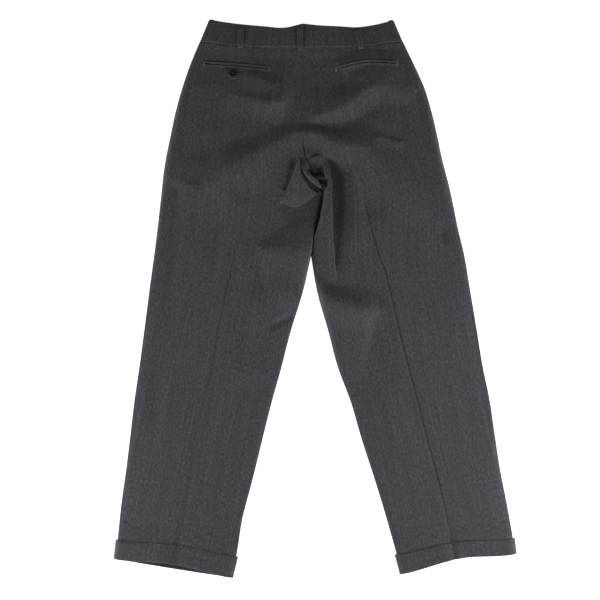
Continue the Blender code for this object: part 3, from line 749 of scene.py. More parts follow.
@dataclass(frozen=True)
class WorstedFlannel:
    """Charcoal wool, spun from dark and light fibres, woven in a twill and lightly milled.

    To the eye it is a matt, soft-edged dark grey with fine streaks along the warp, a faint bloom of loose
    fibres where it turns away, and no gloss.
    """

    dark: str = "#2a282c"
    middle: str = "#444146"
    light: str = "#605d65"
    bloom: str = "#b9b6c1"
    tones: Triple = (0.33, 0.5, 0.68)  # where the three greys come in the pattern
    # Width and length in millimetres of each pattern along the warp, and its detail.
    streaks: Triple = (2.6, 6.0, 2.0)  # the yarns are 0.4 mm apart; drawn as groups of six so that they show
    flecks: Triple = (1.9, 3.04, 3.0)  # tufts of one shade of fibre
    slubs: Triple = (5.5, 150.0, 1.0)  # thicker yarns, which run on
    fleck_share: float = 0.36
    slub_share: float = 0.14
    twill: float = 1.6  # the real ribs are 0.7 mm apart; drawn coarser so that they show
    band_period: float = 0.628  # of diagonal bands at scale 1, along one axis
    nap_share: float = 0.6  # how far the milled fibres hide the ribs
    nap_height: float = 0.4
    dull: Pair = (0.82, 0.97)
    sheen: float = 0.45

    def material(self) -> Finish:
        """Builds the cloth, patterned along the grain map of each piece.

        Returns:
            The material.
        """
        material, shader = start_material("worsted_flannel_milled", 0.9, 1.54)
        tree = material.node_tree
        grain = add_node(tree, "ShaderNodeUVMap", {}, uv_map=GRAIN_MAP).outputs["UV"]
        patterns = []
        for wide, long, detail in (self.streaks, self.flecks, self.slubs):
            scaled = {0: grain, 1: (1 / wide / MM, 1 / long / MM, 1.0)}
            at = add_node(tree, "ShaderNodeVectorMath", scaled, operation="MULTIPLY").outputs["Vector"]
            spots = {"Vector": at, "Scale": 1.0, "Detail": detail, "Roughness": 0.6, "Distortion": 0.4}
            made = add_node(tree, "ShaderNodeTexNoise", spots, noise_dimensions="2D")
            patterns.append(made.outputs["Fac"])
        streaks, flecks, slubs = patterns
        shares = {0: self.fleck_share, 2: streaks, 3: flecks}
        yarn = add_node(tree, "ShaderNodeMix", shares, data_type="FLOAT").outputs[0]
        shares = {0: self.slub_share, 2: yarn, 3: slubs}
        tone = add_node(tree, "ShaderNodeMix", shares, data_type="FLOAT").outputs[0]
        ramp = add_node(tree, "ShaderNodeValToRGB", {"Fac": tone})
        stops = ramp.color_ramp.elements
        stops[0].position, stops[0].color = self.tones[0], linear(self.dark)
        stops[1].position, stops[1].color = self.tones[2], linear(self.light)
        stops.new(self.tones[1]).color = linear(self.middle)
        tree.links.new(ramp.outputs["Color"], shader.inputs["Base Color"])
        step = self.band_period / self.twill / MM
        at = add_node(tree, "ShaderNodeVectorMath", {0: grain, 1: (step, step, 1.0)}, operation="MULTIPLY")
        twill = {"Vector": at.outputs["Vector"], "Scale": 1.0, "Distortion": 1.2}
        twill |= {"Detail": 1.0, "Detail Scale": 2.0}
        ribs = add_node(tree, "ShaderNodeTexWave", twill, wave_type="BANDS", bands_direction="DIAGONAL")
        shares = {0: self.nap_share, 2: ribs.outputs["Fac"], 3: yarn}
        nap = add_node(tree, "ShaderNodeMix", shares, data_type="FLOAT").outputs[0]
        raised = {"Height": nap, "Strength": 0.35, "Distance": self.nap_height * MM}
        bump = add_node(tree, "ShaderNodeBump", raised)
        tree.links.new(bump.outputs["Normal"], shader.inputs["Normal"])
        rough = {"Value": flecks, "To Min": self.dull[0], "To Max": self.dull[1]}
        rough = add_node(tree, "ShaderNodeMapRange", rough).outputs["Result"]
        tree.links.new(rough, shader.inputs["Roughness"])
        shader.inputs["Sheen Weight"].default_value = self.sheen
        shader.inputs["Sheen Roughness"].default_value = 0.55
        shader.inputs["Sheen Tint"].default_value = linear(self.bloom)
        return material


@dataclass(frozen=True)
class PolyesterResin:
    """Black polyester resin button, turned and polished: dark and clear-edged, with a soft gloss."""

    body: str = "#131314"
    swirl: str = "#242326"
    tones: Pair = (0.4, 0.75)
    gloss: Pair = (0.16, 0.34)  # roughness of the body and of the swirl
    swirl_scale: float = 260.0  # swirls about 4 mm across

    def material(self) -> Finish:
        """Builds the resin, with the faint swirl of its cast sheet.

        Returns:
            The material.
        """
        material, shader = start_material("polyester_resin_polished", 0.22, 1.55)
        tree = material.node_tree
        place = add_node(tree, "ShaderNodeTexCoord", {}).outputs["Object"]
        clouds = {"Vector": place, "Scale": self.swirl_scale, "Detail": 3.0, "Distortion": 1.5}
        swirl = add_node(tree, "ShaderNodeTexNoise", clouds).outputs["Fac"]
        ramp = add_node(tree, "ShaderNodeValToRGB", {"Fac": swirl})
        for stop, at, code in zip(ramp.color_ramp.elements, self.tones, (self.body, self.swirl)):
            stop.position, stop.color = at, linear(code)
        tree.links.new(ramp.outputs["Color"], shader.inputs["Base Color"])
        rough = {"Value": swirl, "To Min": self.gloss[0], "To Max": self.gloss[1]}
        rough = add_node(tree, "ShaderNodeMapRange", rough).outputs["Result"]
        tree.links.new(rough, shader.inputs["Roughness"])
        return material


@dataclass(frozen=True)
class SewingThread:
    """Charcoal polyester thread, two plies twisted: a little smoother and glossier than the wool."""

    dark: str = "#605e66"
    light: str = "#96949d"
    twist_scale: float = 700.0  # the plies cross the thread about every millimetre
    ply_height: float = 0.1

    def material(self) -> Finish:
        """Builds the thread, with the slant of its twist.

        Returns:
            The material.
        """
        material, shader = start_material("polyester_thread_twisted", 0.55, 1.5)
        tree = material.node_tree
        place = add_node(tree, "ShaderNodeTexCoord", {}).outputs["Object"]
        plies = {"Vector": place, "Scale": self.twist_scale, "Distortion": 0.5}
        twist = add_node(tree, "ShaderNodeTexWave", plies, wave_type="BANDS", bands_direction="DIAGONAL")
        twist = twist.outputs["Fac"]
        ramp = add_node(tree, "ShaderNodeValToRGB", {"Fac": twist})
        for stop, code in zip(ramp.color_ramp.elements, (self.dark, self.light)):
            stop.color = linear(code)
        tree.links.new(ramp.outputs["Color"], shader.inputs["Base Color"])
        raised = {"Height": twist, "Strength": 0.3, "Distance": self.ply_height * MM}
        bump = add_node(tree, "ShaderNodeBump", raised)
        tree.links.new(bump.outputs["Normal"], shader.inputs["Normal"])
        return material


@dataclass(frozen=True)
class EmulsionPaint:
    """White emulsion paint on a smooth board: pale, matt and even, and bright under the lights."""

    colour: str = "#f4f4f4"
    glow: float = 0.95
    mark_scale: float = 220.0  # roller marks about 5 mm apart
    mark_height: float = 0.2

    def material(self) -> Finish:
        """Builds the paint, with its faint roller marks.

        Returns:
            The material.
        """
        material, shader = start_material("emulsion_rolled", 0.9, 1.5)
        tree = material.node_tree
        place = add_node(tree, "ShaderNodeTexCoord", {}).outputs["Object"]
        spots = {"Vector": place, "Scale": self.mark_scale, "Detail": 2.0}
        marks = add_node(tree, "ShaderNodeTexNoise", spots).outputs["Fac"]
        raised = {"Height": marks, "Strength": 0.05, "Distance": self.mark_height * MM}
        bump = add_node(tree, "ShaderNodeBump", raised)
        tree.links.new(bump.outputs["Normal"], shader.inputs["Normal"])
        shader.inputs["Base Color"].default_value = linear(self.colour)
        shader.inputs["Emission Color"].default_value = linear("#ffffff")
        shader.inputs["Emission Strength"].default_value = self.glow
        return material


# ---------------------------------------------------------------------- meshes


@dataclass
class Solid:
    """A closed surface before it becomes part of a piece."""

    points: np.ndarray  # in millimetres
    faces: list[tuple[int, ...]]
    grain: np.ndarray  # where each point lies on the cloth, in metres


def make_piece(name: str, solids: list[Solid], material: Finish) -> Piece:
    """Joins solids into one piece, shaded smooth, with its normals pointing out.

    Args:
        name: the piece's name.
        solids: its solids.
        material: its finish.

    Returns:
        The piece.
    """
    faces, count = [], 0
    for solid in solids:
        faces += [tuple(corner + count for corner in face) for face in solid.faces]
        count += len(solid.points)
    mesh = bpy.data.meshes.new(name)
    mesh.from_pydata((np.vstack([solid.points for solid in solids]) * MM).tolist(), [], faces)
    work = bmesh.new()
    work.from_mesh(mesh)
    bmesh.ops.recalc_face_normals(work, faces=work.faces)
    work.to_mesh(mesh)
    work.free()
    mesh.shade_smooth()
    mesh.materials.append(material)
    grain = np.vstack([solid.grain for solid in solids]).astype(np.float32)
    corners = np.empty(len(mesh.loops), int)
    mesh.loops.foreach_get("vertex_index", corners)
    mesh.uv_layers.new(name=GRAIN_MAP).uv.foreach_set("vector", grain[corners].ravel())
    piece = bpy.data.objects.new(name, mesh)
    bpy.context.scene.collection.objects.link(piece)
    return piece


def dress(piece: Piece, slot: str, node: str = "") -> Piece:
    """Lets a piece ride on the garment and take its finish from a slot of the record.

    Args:
        piece: the piece.
        slot: the record's material slot.
        node: the CAD node that the piece stands for, if there is one.

    Returns:
        The piece.
    """
    if node:
        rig.replaces(piece, node)
    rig.ride(piece, "root")
    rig.slot(piece, slot)
    return piece


def grid_faces(rows: int, columns: int, start: int) -> list[tuple[int, ...]]:
    """Faces of a grid of points.

    Args:
        rows: how many rows it has.
        columns: how many points are in each.
        start: the number of its first point, from which they count row by row.

    Returns:
        The corners of each face.
    """
    first = (np.arange(rows - 1)[:, None] * columns + np.arange(columns - 1) + start).ravel()
    corners = np.stack([first, first + 1, first + columns + 1, first + columns], 1)
    return [tuple(face) for face in corners.tolist()]


def shell(outer: np.ndarray, wall: float, grain: np.ndarray) -> Solid:
    """A closed wall of cloth.

    Args:
        outer: rows of points of its upper face.
        wall: its thickness, downwards from there.
        grain: where those points lie on the cloth.

    Returns:
        The wall.
    """
    rows, columns = outer.shape[:2]
    normal = normals(outer)
    inner = outer - normal * wall * np.sign(normal[..., 2].sum())
    total = rows * columns
    faces = grid_faces(rows, columns, 0) + grid_faces(rows, columns, total)
    numbers = np.arange(total).reshape(rows, columns)
    border = [numbers[0], numbers[1:, -1], numbers[-1, -2::-1], numbers[-2:0:-1, 0]]
    border = np.concatenate(border).tolist()
    after = border[1:] + border[:1]
    faces += [(one, one + total, two + total, two) for one, two in zip(border, after)]
    points = np.vstack([outer.reshape(-1, 3), inner.reshape(-1, 3)])
    return Solid(points, faces, np.vstack([grain.reshape(-1, 2)] * 2))


def tube(rings: np.ndarray, grain: np.ndarray | None = None) -> Solid:
    """A closed solid from rings of points, each listed round its section.

    Args:
        rings: the rings, in order along the solid.
        grain: where those points lie on the cloth, or None where the plan serves as the grain.

    Returns:
        The solid.
    """
    count, around = rings.shape[:2]
    last = (count - 1) * around
    faces = []
    for low in range(0, last, around):
        for step in range(around):
            after = (step + 1) % around
            faces.append((low + step, low + after, low + around + after, low + around + step))
    faces += [tuple(range(around)), tuple(range(last, last + around))]
    points = rings.reshape(-1, 3)
    return Solid(points, faces, points[:, :2] * MM if grain is None else grain.reshape(-1, 2))


@dataclass(frozen=True)
class Flap:
    """Cloth folded back on itself: a low cushion with a rounded rim, over the panel."""

    rim: tuple[tuple[float, float, float, float], ...]  # x, y, height of the cloth there, radius of the rim
    spine: tuple[Triple, ...]  # x, y, height along its middle
    foot: float = 1.2  # height of its lowest ring
    spine_points: int = 40
    rim_steps: int = 8  # from row to row of the rim
    tops: tuple[float, ...] = (0.02, 0.15, 0.3, 0.45, 0.6, 0.72, 0.82, 0.9)  # shares of the way to the rim
    rounds: tuple[float, ...] = (0.9, 0.6, 0.3, 0.1, 0.0)  # radii that are left to go to the rim
    round_limit: float = 0.09  # the share of the way that they may take
    unders: tuple[Point, ...] = ((0.25, 1.6), (0.9, 2.2))  # radii in and down, under the rim
    under_limit: float = 0.3  # the share of the way to the spine that they may take

    def solid(self) -> Solid:
        """Builds the flap from rings that widen from its spine to its rim.

        Returns:
            The flap.
        """
        wrapped = (self.rim[-1], *self.rim, *self.rim[:2])
        rim = through(wrapped, 1 + np.arange(len(self.rim) * self.rim_steps) / self.rim_steps)
        x, y, high, radius = rim.T
        middle = curve(self.spine, self.spine_points)
        nearest = np.hypot(middle[:, 0] - x[:, None], middle[:, 1] - y[:, None]).argmin(1)
        core = middle[nearest]
        length = np.hypot(core[:, 0] - x, core[:, 1] - y)
        inside = [length * (1 - share) for share in self.tops]
        inside += [np.minimum(radius * left, length * self.round_limit) for left in self.rounds]
        rings = [self.ring(core, rim, length, distance) for distance in inside]
        for inset, drop in self.unders:
            ring = self.ring(core, rim, length, radius * 0)
            pull = np.minimum(radius * inset / length, self.under_limit)[:, None]
            ring[:, :2] += (core[:, :2] - ring[:, :2]) * pull
            ring[:, 2] = high - radius * drop
            rings.append(ring)
        last = rings[-1].copy()
        last[:, 2] = np.minimum(last[:, 2] - 0.1, self.foot)
        rings.append(last)
        return tube(np.array(rings))

    def ring(self, core: np.ndarray, rim: np.ndarray, length: np.ndarray, inside: np.ndarray) -> np.ndarray:
        """One ring of the flap's top, rounded down towards the rim.

        Args:
            core: the place of the spine nearest to each point of the rim.
            rim: rows of x, y, height and radius.
            length: the way from the one to the other.
            inside: how far from the rim the ring lies.

        Returns:
            The ring's points.
        """
        share = (1 - inside / length)[:, None]
        plan = core[:, :2] + (rim[:, :2] - core[:, :2]) * share
        top = core[:, 2] + (rim[:, 2] - core[:, 2]) * share[:, 0] ** 1.5
        near = 1 - np.clip(inside / rim[:, 3], 0, 1)
        return np.column_stack([plan, top - rim[:, 3] * (1 - np.sqrt(1 - near**2))])


@dataclass(frozen=True)
class Roll:
    """A rolled edge of cloth, thick in its middle."""

    path: tuple[tuple[float, float, float, float], ...]  # x, y, height of its top, radius
    flat: float = 0.8
    length_steps: int = 36
    round_steps: int = 20

    def solid(self) -> Solid:
        """Builds the roll.

        Returns:
            A solid of rings along its path.
        """
        rows = curve(self.path, self.length_steps)
        run = np.gradient(rows[:, :2], axis=0)
        run /= np.linalg.norm(run, axis=1, keepdims=True)
        turns = np.linspace(0, 2 * np.pi, self.round_steps, endpoint=False)
        rings = []
        for (x, y, top, radius), (along_x, along_y) in zip(rows, run):
            side = np.cos(turns) * radius
            up = top + (np.sin(turns) - 1) * radius * self.flat
            rings.append(np.column_stack([x + along_y * side, y - along_x * side, up]))
        return tube(np.array(rings))


LEFT_GATHERS = (
    Flap(
        rim=(
            (-30, 272, 13.4, 1.5), (-36, 262, 16.4, 2.5), (-40, 249, 16.6, 2.8), (-46, 234, 15.2, 2.8),
            (-54, 218, 12.4, 2.6), (-61, 206, 10.8, 2.6), (-66, 197, 9.2, 2.8), (-62, 188, 7.8, 3.0),
            (-52, 181, 7.0, 3.0), (-38, 178, 6.8, 3.0), (-27, 183, 7.2, 3.0), (-15, 191, 9.0, 2.6),
            (-4, 198, 11.2, 2.0), (5, 206, 13.0, 1.4), (-3, 211, 14.8, 1.3), (-12, 218, 16.8, 1.6),
            (-21, 230, 18.0, 1.6), (-28, 247, 18.0, 1.5),
        ),
        spine=((-32, 261, 18.8), (-36, 243, 18.8), (-39, 218, 15.0), (-28, 209, 14.0), (-6, 205, 13.8)),
    ),
    Roll(
        path=(
            (-26, 267, 14.0, 1.2), (-23, 254, 18.6, 2.4), (-16.5, 243, 20.6, 3.8), (-7, 233.5, 20.8, 4.8),
            (2, 226, 19.4, 4.6), (10, 219, 16.6, 3.0), (16, 214, 13.8, 1.2),
        ),
    ),
)  # fmt: skip
RIGHT_GATHERS = (
    Flap(
        rim=(
            (14, 268, 9.0, 1.2), (19, 267, 11.6, 1.6), (25, 256, 17.6, 2.2), (29, 240, 21.4, 2.4),
            (31.5, 216, 23.2, 2.4), (32.5, 183, 23.6, 2.4), (33.5, 146, 21.0, 2.4), (35.5, 105, 16.2, 2.2),
            (38.5, 72, 12.2, 2.0), (42, 44, 9.0, 1.6), (41, 35, 8.4, 1.4), (29, 33, 7.8, 1.4),
            (14, 37, 6.8, 1.6), (4, 42, 5.2, 1.6), (1, 56, 5.2, 1.8), (-3, 80, 7.2, 2.0),
            (-6.5, 101, 10.0, 2.0), (-0.5, 122, 13.0, 2.0), (7.5, 150, 16.2, 2.0), (13, 177, 18.0, 2.0),
            (19.5, 206, 18.6, 1.8), (25, 227, 17.8, 1.5), (19.5, 238, 16.0, 1.4), (16, 253, 13.0, 1.3),
        ),
        spine=(
            (19, 260, 13.6), (23, 240, 19.0), (27, 216, 21.8), (25, 183, 22.0), (21, 144, 19.2),
            (17, 105, 15.0), (18, 72, 11.4), (23, 50, 9.2),
        ),
    ),
    Flap(
        rim=(
            (-14, 269, 11.6, 1.4), (-8, 276, 12.6, 1.2), (0, 280, 13.2, 1.2), (9, 279, 13.4, 1.2),
            (16, 271, 13.4, 1.4), (19, 258, 12.8, 1.6), (20, 246, 11.0, 1.4), (22, 232, 8.0, 1.0),
            (9, 231, 7.4, 1.0), (0, 237, 7.4, 1.2), (-4, 246, 8.0, 1.4), (-10, 257, 9.6, 1.6),
        ),
        spine=((1, 275, 14.9), (4, 261, 12.2), (8, 246, 9.2), (11, 238, 8.2)),
    ),
    Roll(path=((-1, 239, 11.0, 2.0), (6, 236.5, 14.0, 4.0), (14, 235.5, 14.6, 4.6), (22, 236, 14.0, 3.6))),
)  # fmt: skip
GATHERS = {Side.LEFT: LEFT_GATHERS, Side.RIGHT: RIGHT_GATHERS}


@dataclass
class Lie:
    """The pieces that other pieces lie on, and their height anywhere."""

    trees: list[BVHTree]
    above: float = 200.0
    slips: Triple = (0.0, 0.7, -0.7)  # tried in turn, so that a seam's gap isn't taken for a hole

    def add(self, piece: Piece) -> None:
        """Lets later pieces lie on this one."""
        points = [vertex.co[:] for vertex in piece.data.vertices]
        self.trees.append(BVHTree.FromPolygons(points, [face.vertices[:] for face in piece.data.polygons]))

    def height(self, x: float, y: float) -> float:
        """Finds the highest piece at a place in plan.

        Args:
            x: the place along X, in millimetres.
            y: the place along Y.

        Returns:
            The piece's height there, in millimetres.
        """
        hits = []
        for tree in self.trees:
            for slip in self.slips:
                hit = tree.ray_cast(Vector((x, y + slip, self.above)) * MM, Vector((0, 0, -1)))
                if hit[0] is not None:
                    hits.append(hit[0].z / MM)
                    break
        return max(hits, default=0.0)


# ---------------------------------------------------------------------- pieces


@dataclass
class BackPanel:
    """The back of one leg with its half of the seat: it carries the folds."""

    leg: Leg
    wall: float = 1.0
    edge_steps: tuple[float, ...] = (0, 0.4, 1.0, 1.8, 2.8, 4.0, 5.6, 7.6, 10.0, 12.6)
    crease_steps: tuple[float, ...] = (0, 0.7, 1.4, 2.2, 3.2, 4.6, 6.6)
    half_steps: int = 38
    waist_rows: tuple[float, ...] = (0, 0.015, 0.03, 0.05, 0.075, 0.105, 0.14, 0.18)
    fine_from: float = 0.23
    fine_rows: int = 172
    plain_rows: int = 124

    def across(self, level: np.ndarray) -> np.ndarray:
        """Spreads the points of each row, close together at both edges and at the crease.

        Args:
            level: one level for each row.

        Returns:
            Where the points of each row lie across the panel.
        """
        wide = self.leg.width(level)[:, None]
        edge = np.repeat(np.array(self.edge_steps)[None], len(level), 0)
        crease = self.leg.crease_across(level)[:, None] * wide
        near = np.array(self.crease_steps)
        share = np.linspace(0, 1, self.half_steps + 1)[1:-1][None]
        first = edge[:, -1:] + (crease - near[-1] - edge[:, -1:]) * share
        second = crease + near[-1] + (wide - edge[:, -1:] - crease - near[-1]) * share
        beside = crease + np.concatenate([-near[:0:-1], near])[None]
        return np.hstack([edge, first, beside, second, wide - edge[:, ::-1]]) / wide

    def build(self, cloth: Finish) -> Piece:
        """Builds the panel as a thin shell, from waist to hem, with the gathers at its crotch.

        Args:
            cloth: its finish.

        Returns:
            The piece.
        """
        fork, hem = self.leg.fork_level, self.leg.hem_level
        fine = np.linspace(self.fine_from, fork, self.fine_rows)[:-1]
        level = np.concatenate([self.waist_rows, fine, np.linspace(fork, hem, self.plain_rows)])
        across = self.across(level)
        points = self.leg.back(level, across)
        panel = shell(points, self.wall, self.leg.grain(level, across, points))
        gathers = [part.solid() for part in GATHERS[self.leg.side]]
        return self.leg.piece("back", "back_panel", [panel, *gathers], cloth)


# Section of a pleat from the side seam on: share of its depth, and layers across and up.
PLEAT_SECTION = (
    (0, -6, 0), (0, -3, 1.1), (0, -1.6, 2), (0.5, -0.5, 2), (1, 0, 2), (1, 0.35, 1.85), (1, 0.5, 1.5),
    (1, 0.35, 1.15), (1, 0, 1), (0.5, 0, 1), (0, 0, 1), (0, -0.35, 0.85), (0, -0.5, 0.5), (0, -0.35, 0.15),
)  # fmt: skip


@dataclass
class FrontPanel:
    """The front of one leg: it lies flat on the floor, with two pleats that open into soft ripples."""

    leg: Leg
    wall: float = 1.2
    pleats_across: Pair = (0.30, 0.48)
    depth: float = 20.0
    depth_levels: float = 2.4
    layer: float = 2.0
    open_levels: Pair = (1.6, 2.2)
    ripple_levels: Pair = (1.6, 4.6)
    ripple: Pair = (-12.0, 15.0)  # how far an opened pleat reaches to both sides
    fly_lap: float = 5.0
    fly_under: float = -2.0
    lap_levels: Pair = (4.0, 5.0)
    over_levels: Pair = (5.0, 6.0)
    crease_levels: Pair = (4.0, 6.0)
    crease_reach: float = 2.5
    relief: float = 0.5  # height of the crease and of the cloth's own bends
    bend_shift: float = 400.0  # so that the front's bends aren't the back's
    seam_back: float = 0.9  # how far the waist seam lies below the band's
    side_steps: tuple[float, ...] = (0.0, 4.0, 10.0, 18.0, 26.0)
    edge_steps: Pair = (24.0, 10.0)
    gap_shares: Pair = (0.33, 0.66)
    inner_steps: int = 20
    waist_rows: int = 60
    leg_rows: int = 91

    def pleat(self, centre: np.ndarray, level: np.ndarray) -> tuple[np.ndarray, np.ndarray]:
        """A pleat, folded as an S at the waist and then opened.

        Args:
            centre: where it lies in each row.
            level: one level for each row.

        Returns:
            Places and heights of its points.
        """
        by_depth, by_layer, layers = np.array(PLEAT_SECTION, float).T
        open_at = np.linspace(*self.ripple, len(layers))
        depth = (self.depth * np.clip(1 - level / self.depth_levels, 0, 1))[:, None]
        layer = (self.layer * (1 - smooth(*self.ripple_levels, level)))[:, None]
        opened = smooth(*self.open_levels, level)[:, None]
        folded = by_depth * depth + by_layer * self.layer
        return centre[:, None] + folded + (open_at - folded) * opened, layers * layer

    def rows(self, level: np.ndarray) -> tuple[np.ndarray, np.ndarray]:
        """Lays out the points of the panel, with its pleats and the lap of the fly.

        Args:
            level: one level for each row.

        Returns:
            How far each point lies from the side seam, in millimetres, and its height.
        """
        wide = self.leg.width(level)
        is_left = self.leg.side is Side.LEFT
        lap = 1 - smooth(*self.lap_levels, level)
        end = wide + lap * (self.fly_lap if is_left else self.fly_under)
        over = (self.wall + SEAM_GAP) * (1 - smooth(*self.over_levels, level)) * (0 if is_left else 1)
        first, first_rise = self.pleat(self.pleats_across[0] * wide, level)
        second, second_rise = self.pleat(self.pleats_across[1] * wide, level)
        flat = np.zeros((len(level), 1))
        side = [np.full_like(flat, place) for place in self.side_steps]
        gap = [first[:, -1:] * (1 - part) + second[:, :1] * part for part in self.gap_shares]
        start, near_end = ((wide - step)[:, None] for step in self.edge_steps)
        shares = np.linspace(0, 1, self.inner_steps + 2)[1:-1]
        inner = [second[:, -1:] * (1 - part) + start * part for part in shares]
        places = np.hstack([*side, first, *gap, second, *inner, start, near_end, end[:, None]])
        before, between, after = ([flat] * count for count in (len(side), len(gap), len(inner) + 1))
        edge = [over[:, None]] * 2
        return places, np.hstack([*before, first_rise, *between, second_rise, *after, *edge])

    def build(self, cloth: Finish) -> Piece:
        """Builds the panel as a wall whose lower face lies at the floor.

        Args:
            cloth: its finish.

        Returns:
            The piece.
        """
        leg, turn = self.leg, self.lap_levels[1]
        waist = np.linspace(0, turn, self.waist_rows)[:-1]
        level = np.concatenate([waist, np.linspace(turn, leg.hem_level, self.leg_rows)])
        wide = leg.width(level)[:, None]
        places, rise = self.rows(level)
        across = places / wide
        plan = leg.place(level, across, is_front=True)
        plan[0, :, 1] -= self.seam_back
        bends = np.array([[unevenness(x + self.bend_shift, y) for x, y in row] for row in plan])
        crease = bell(np.abs(across - 0.5) * wide, self.crease_reach)
        crease *= smooth(*self.crease_levels, level)[:, None]
        rise += np.clip(bends, 0, 1) * self.relief + self.relief * crease
        points = np.dstack([plan, self.wall / 2 + leg.lift(level)[:, None] + rise])
        outer = points + normals(points) * leg.side.value * self.wall / 2
        wall = shell(outer, self.wall, leg.grain(level, across, plan))
        return leg.piece("front", "front_panel", [wall], cloth)


@dataclass
class Waistband:
    """One half of the waistband, folded round its side and closed left over right at the front."""

    leg: Leg
    top: tuple[Triple, ...]  # from the side fold to the centre back: x, y and lift
    other_top: tuple[Triple, ...]
    lap_end: float
    tall: float = 42.0
    wall: float = 2.2
    step: float = 0.9
    fold_reach: float = 9.0
    fold_across: float = 0.05  # where the band begins to turn round the side
    overlap: float = 1.4
    front_short: float = 1.5
    top_round: float = 0.35  # how far its folded top stands up, in walls
    lap_down: Pair = (0.84, 0.96)  # where the left end comes down off the loops
    lap_up: Pair = (0.66, 0.80)  # and the right end rises over it
    seam_dip: float = 0.5
    pull: Pair = (0.3, 0.35)  # how far its own seam draws it in, and by how much that varies
    dip_reach: float = 1.6
    waves: tuple[Triple, ...] = ((0.7, 13, 5.1), (0.9, 34, 2.1))  # height, length and start of the noise
    pull_length: float = 21.0
    back_columns: int = 84
    fold_columns: int = 12
    front_columns: int = 50
    up_steps: tuple[float, ...] = (0, 0.03, 0.08, 0.18, 0.3, 0.42, 0.54, 0.66, 0.78, 0.88, 0.95, 0.985)

    def seam_and_top(self, across: float) -> tuple[np.ndarray, np.ndarray]:
        """The two ends of a column, in plan.

        Args:
            across: where the column stands, which may be past the centre.

        Returns:
            Its seam end, and its top end with the top's lift.
        """
        leg, table = self.leg, self.top
        if across > 1:
            other = LEGS[leg.side.other]
            zero = np.zeros(1)
            across = 1 - (across - 1) * float(leg.width(zero)[0] / other.width(zero)[0])
            leg, table = other, self.other_top
        seam = leg.place(np.zeros(1), np.array([[across]]))[0, 0] - np.array([0, self.overlap])
        return seam, through(table, np.array([across * (len(table) - 1)]))[0]

    def seam_height(self, across: float) -> float:
        """Height of the band's outer face at its seam on the back."""
        return float(self.leg.height(np.zeros(1), np.array([[across]]))[0, 0]) + self.step

    def back_column(self, across: float) -> np.ndarray:
        """Outer points of a column of the band's back.

        Args:
            across: where the column stands.

        Returns:
            Its points from the seam up.
        """
        seam, top = self.seam_and_top(across)
        up = np.array(self.up_steps)
        waves = sum(
            high * noise.noise(Vector((seam[0] / long, 0.3 + number, start)))
            for number, (high, long, start) in enumerate(self.waves)
        )
        from_seam = (1 - across) * float(self.leg.width(np.zeros(1))[0])
        z = self.seam_height(across) + top[2] * up**1.5 + waves * np.sin(np.pi * up) ** 0.7
        z -= self.seam_dip * bell(from_seam, self.dip_reach)
        pull = self.pull[0] + self.pull[1] * noise.noise(Vector((seam[0] / self.pull_length, 4.3, 0.6)))
        z -= pull * bell(up * self.tall, self.dip_reach)
        return np.column_stack([seam + (top[:2] - seam) * up[:, None], z])

    def front_height(self, across: float) -> float:
        """Lowest face of the band's front: over the loops, then under or over the other end.

        Args:
            across: where the column stands.

        Returns:
            Its height.
        """
        lift = self.leg.front_lift
        if self.leg.side is Side.LEFT:
            return lift * (1 - float(smooth(*self.lap_down, across)))
        lapped = self.wall + 2 * SEAM_GAP
        return lift + (lapped - lift) * float(smooth(*self.lap_up, across))

    def columns(self) -> np.ndarray:
        """Outer points of every column, from the centre back round the side to the front end.

        Returns:
            An array of columns of points.
        """
        leg, up = self.leg, np.array(self.up_steps)[:, None]
        found = [self.back_column(float(at)) for at in np.linspace(1, self.fold_across, self.back_columns)]
        found[0][:, 0] = CENTRE_SEAM[0][0]
        seam, top = self.seam_and_top(0.0)
        half = (self.seam_height(self.fold_across) - leg.front_lift) / 2
        for angle in np.linspace(0, math.pi, self.fold_columns + 1)[1:]:
            plan = seam + (top[:2] - seam) * up
            plan[:, 0] -= leg.side.value * self.fold_reach * (1 - math.sin(angle))
            high = leg.front_lift + half * (1 + math.cos(angle))
            found.append(np.column_stack([plan, np.full(len(up), high)]))
        for across in np.linspace(self.fold_across, self.lap_end, self.front_columns)[1:]:
            seam, top = self.seam_and_top(float(across))
            plan = seam + (top[:2] - (0, self.front_short) - seam) * up
            high = self.front_height(float(across))
            found.append(np.column_stack([plan, np.full(len(up), high)]))
        return np.array(found)

    def build(self, cloth: Finish) -> Piece:
        """Builds the band with a rounded top, as cloth folded over its stiffening.

        Args:
            cloth: its finish.

        Returns:
            The piece.
        """
        outer = self.columns()
        normal = normals(outer)
        normal *= np.sign(normal[2, 5, 2])  # so that the back's columns face up
        inner = outer - normal * self.wall
        rise = np.gradient(outer, axis=1)[:, -1]
        rise /= np.linalg.norm(rise, axis=1, keepdims=True)
        top = outer[:, -1] - normal[:, -1] * self.wall / 2 + rise * self.wall * self.top_round
        rings = np.concatenate([outer, top[:, None], inner[:, ::-1]], axis=1)
        travelled = np.cumsum(np.linalg.norm(np.gradient(outer, axis=0)[:, 5], axis=1))
        height = np.array([*self.up_steps, 1.02, *self.up_steps[::-1]]) * self.tall
        grain = np.dstack(np.broadcast_arrays(travelled[:, None], height[None, :])) * MM
        return self.leg.piece("waistband", "waistband", [tube(rings, grain)], cloth)


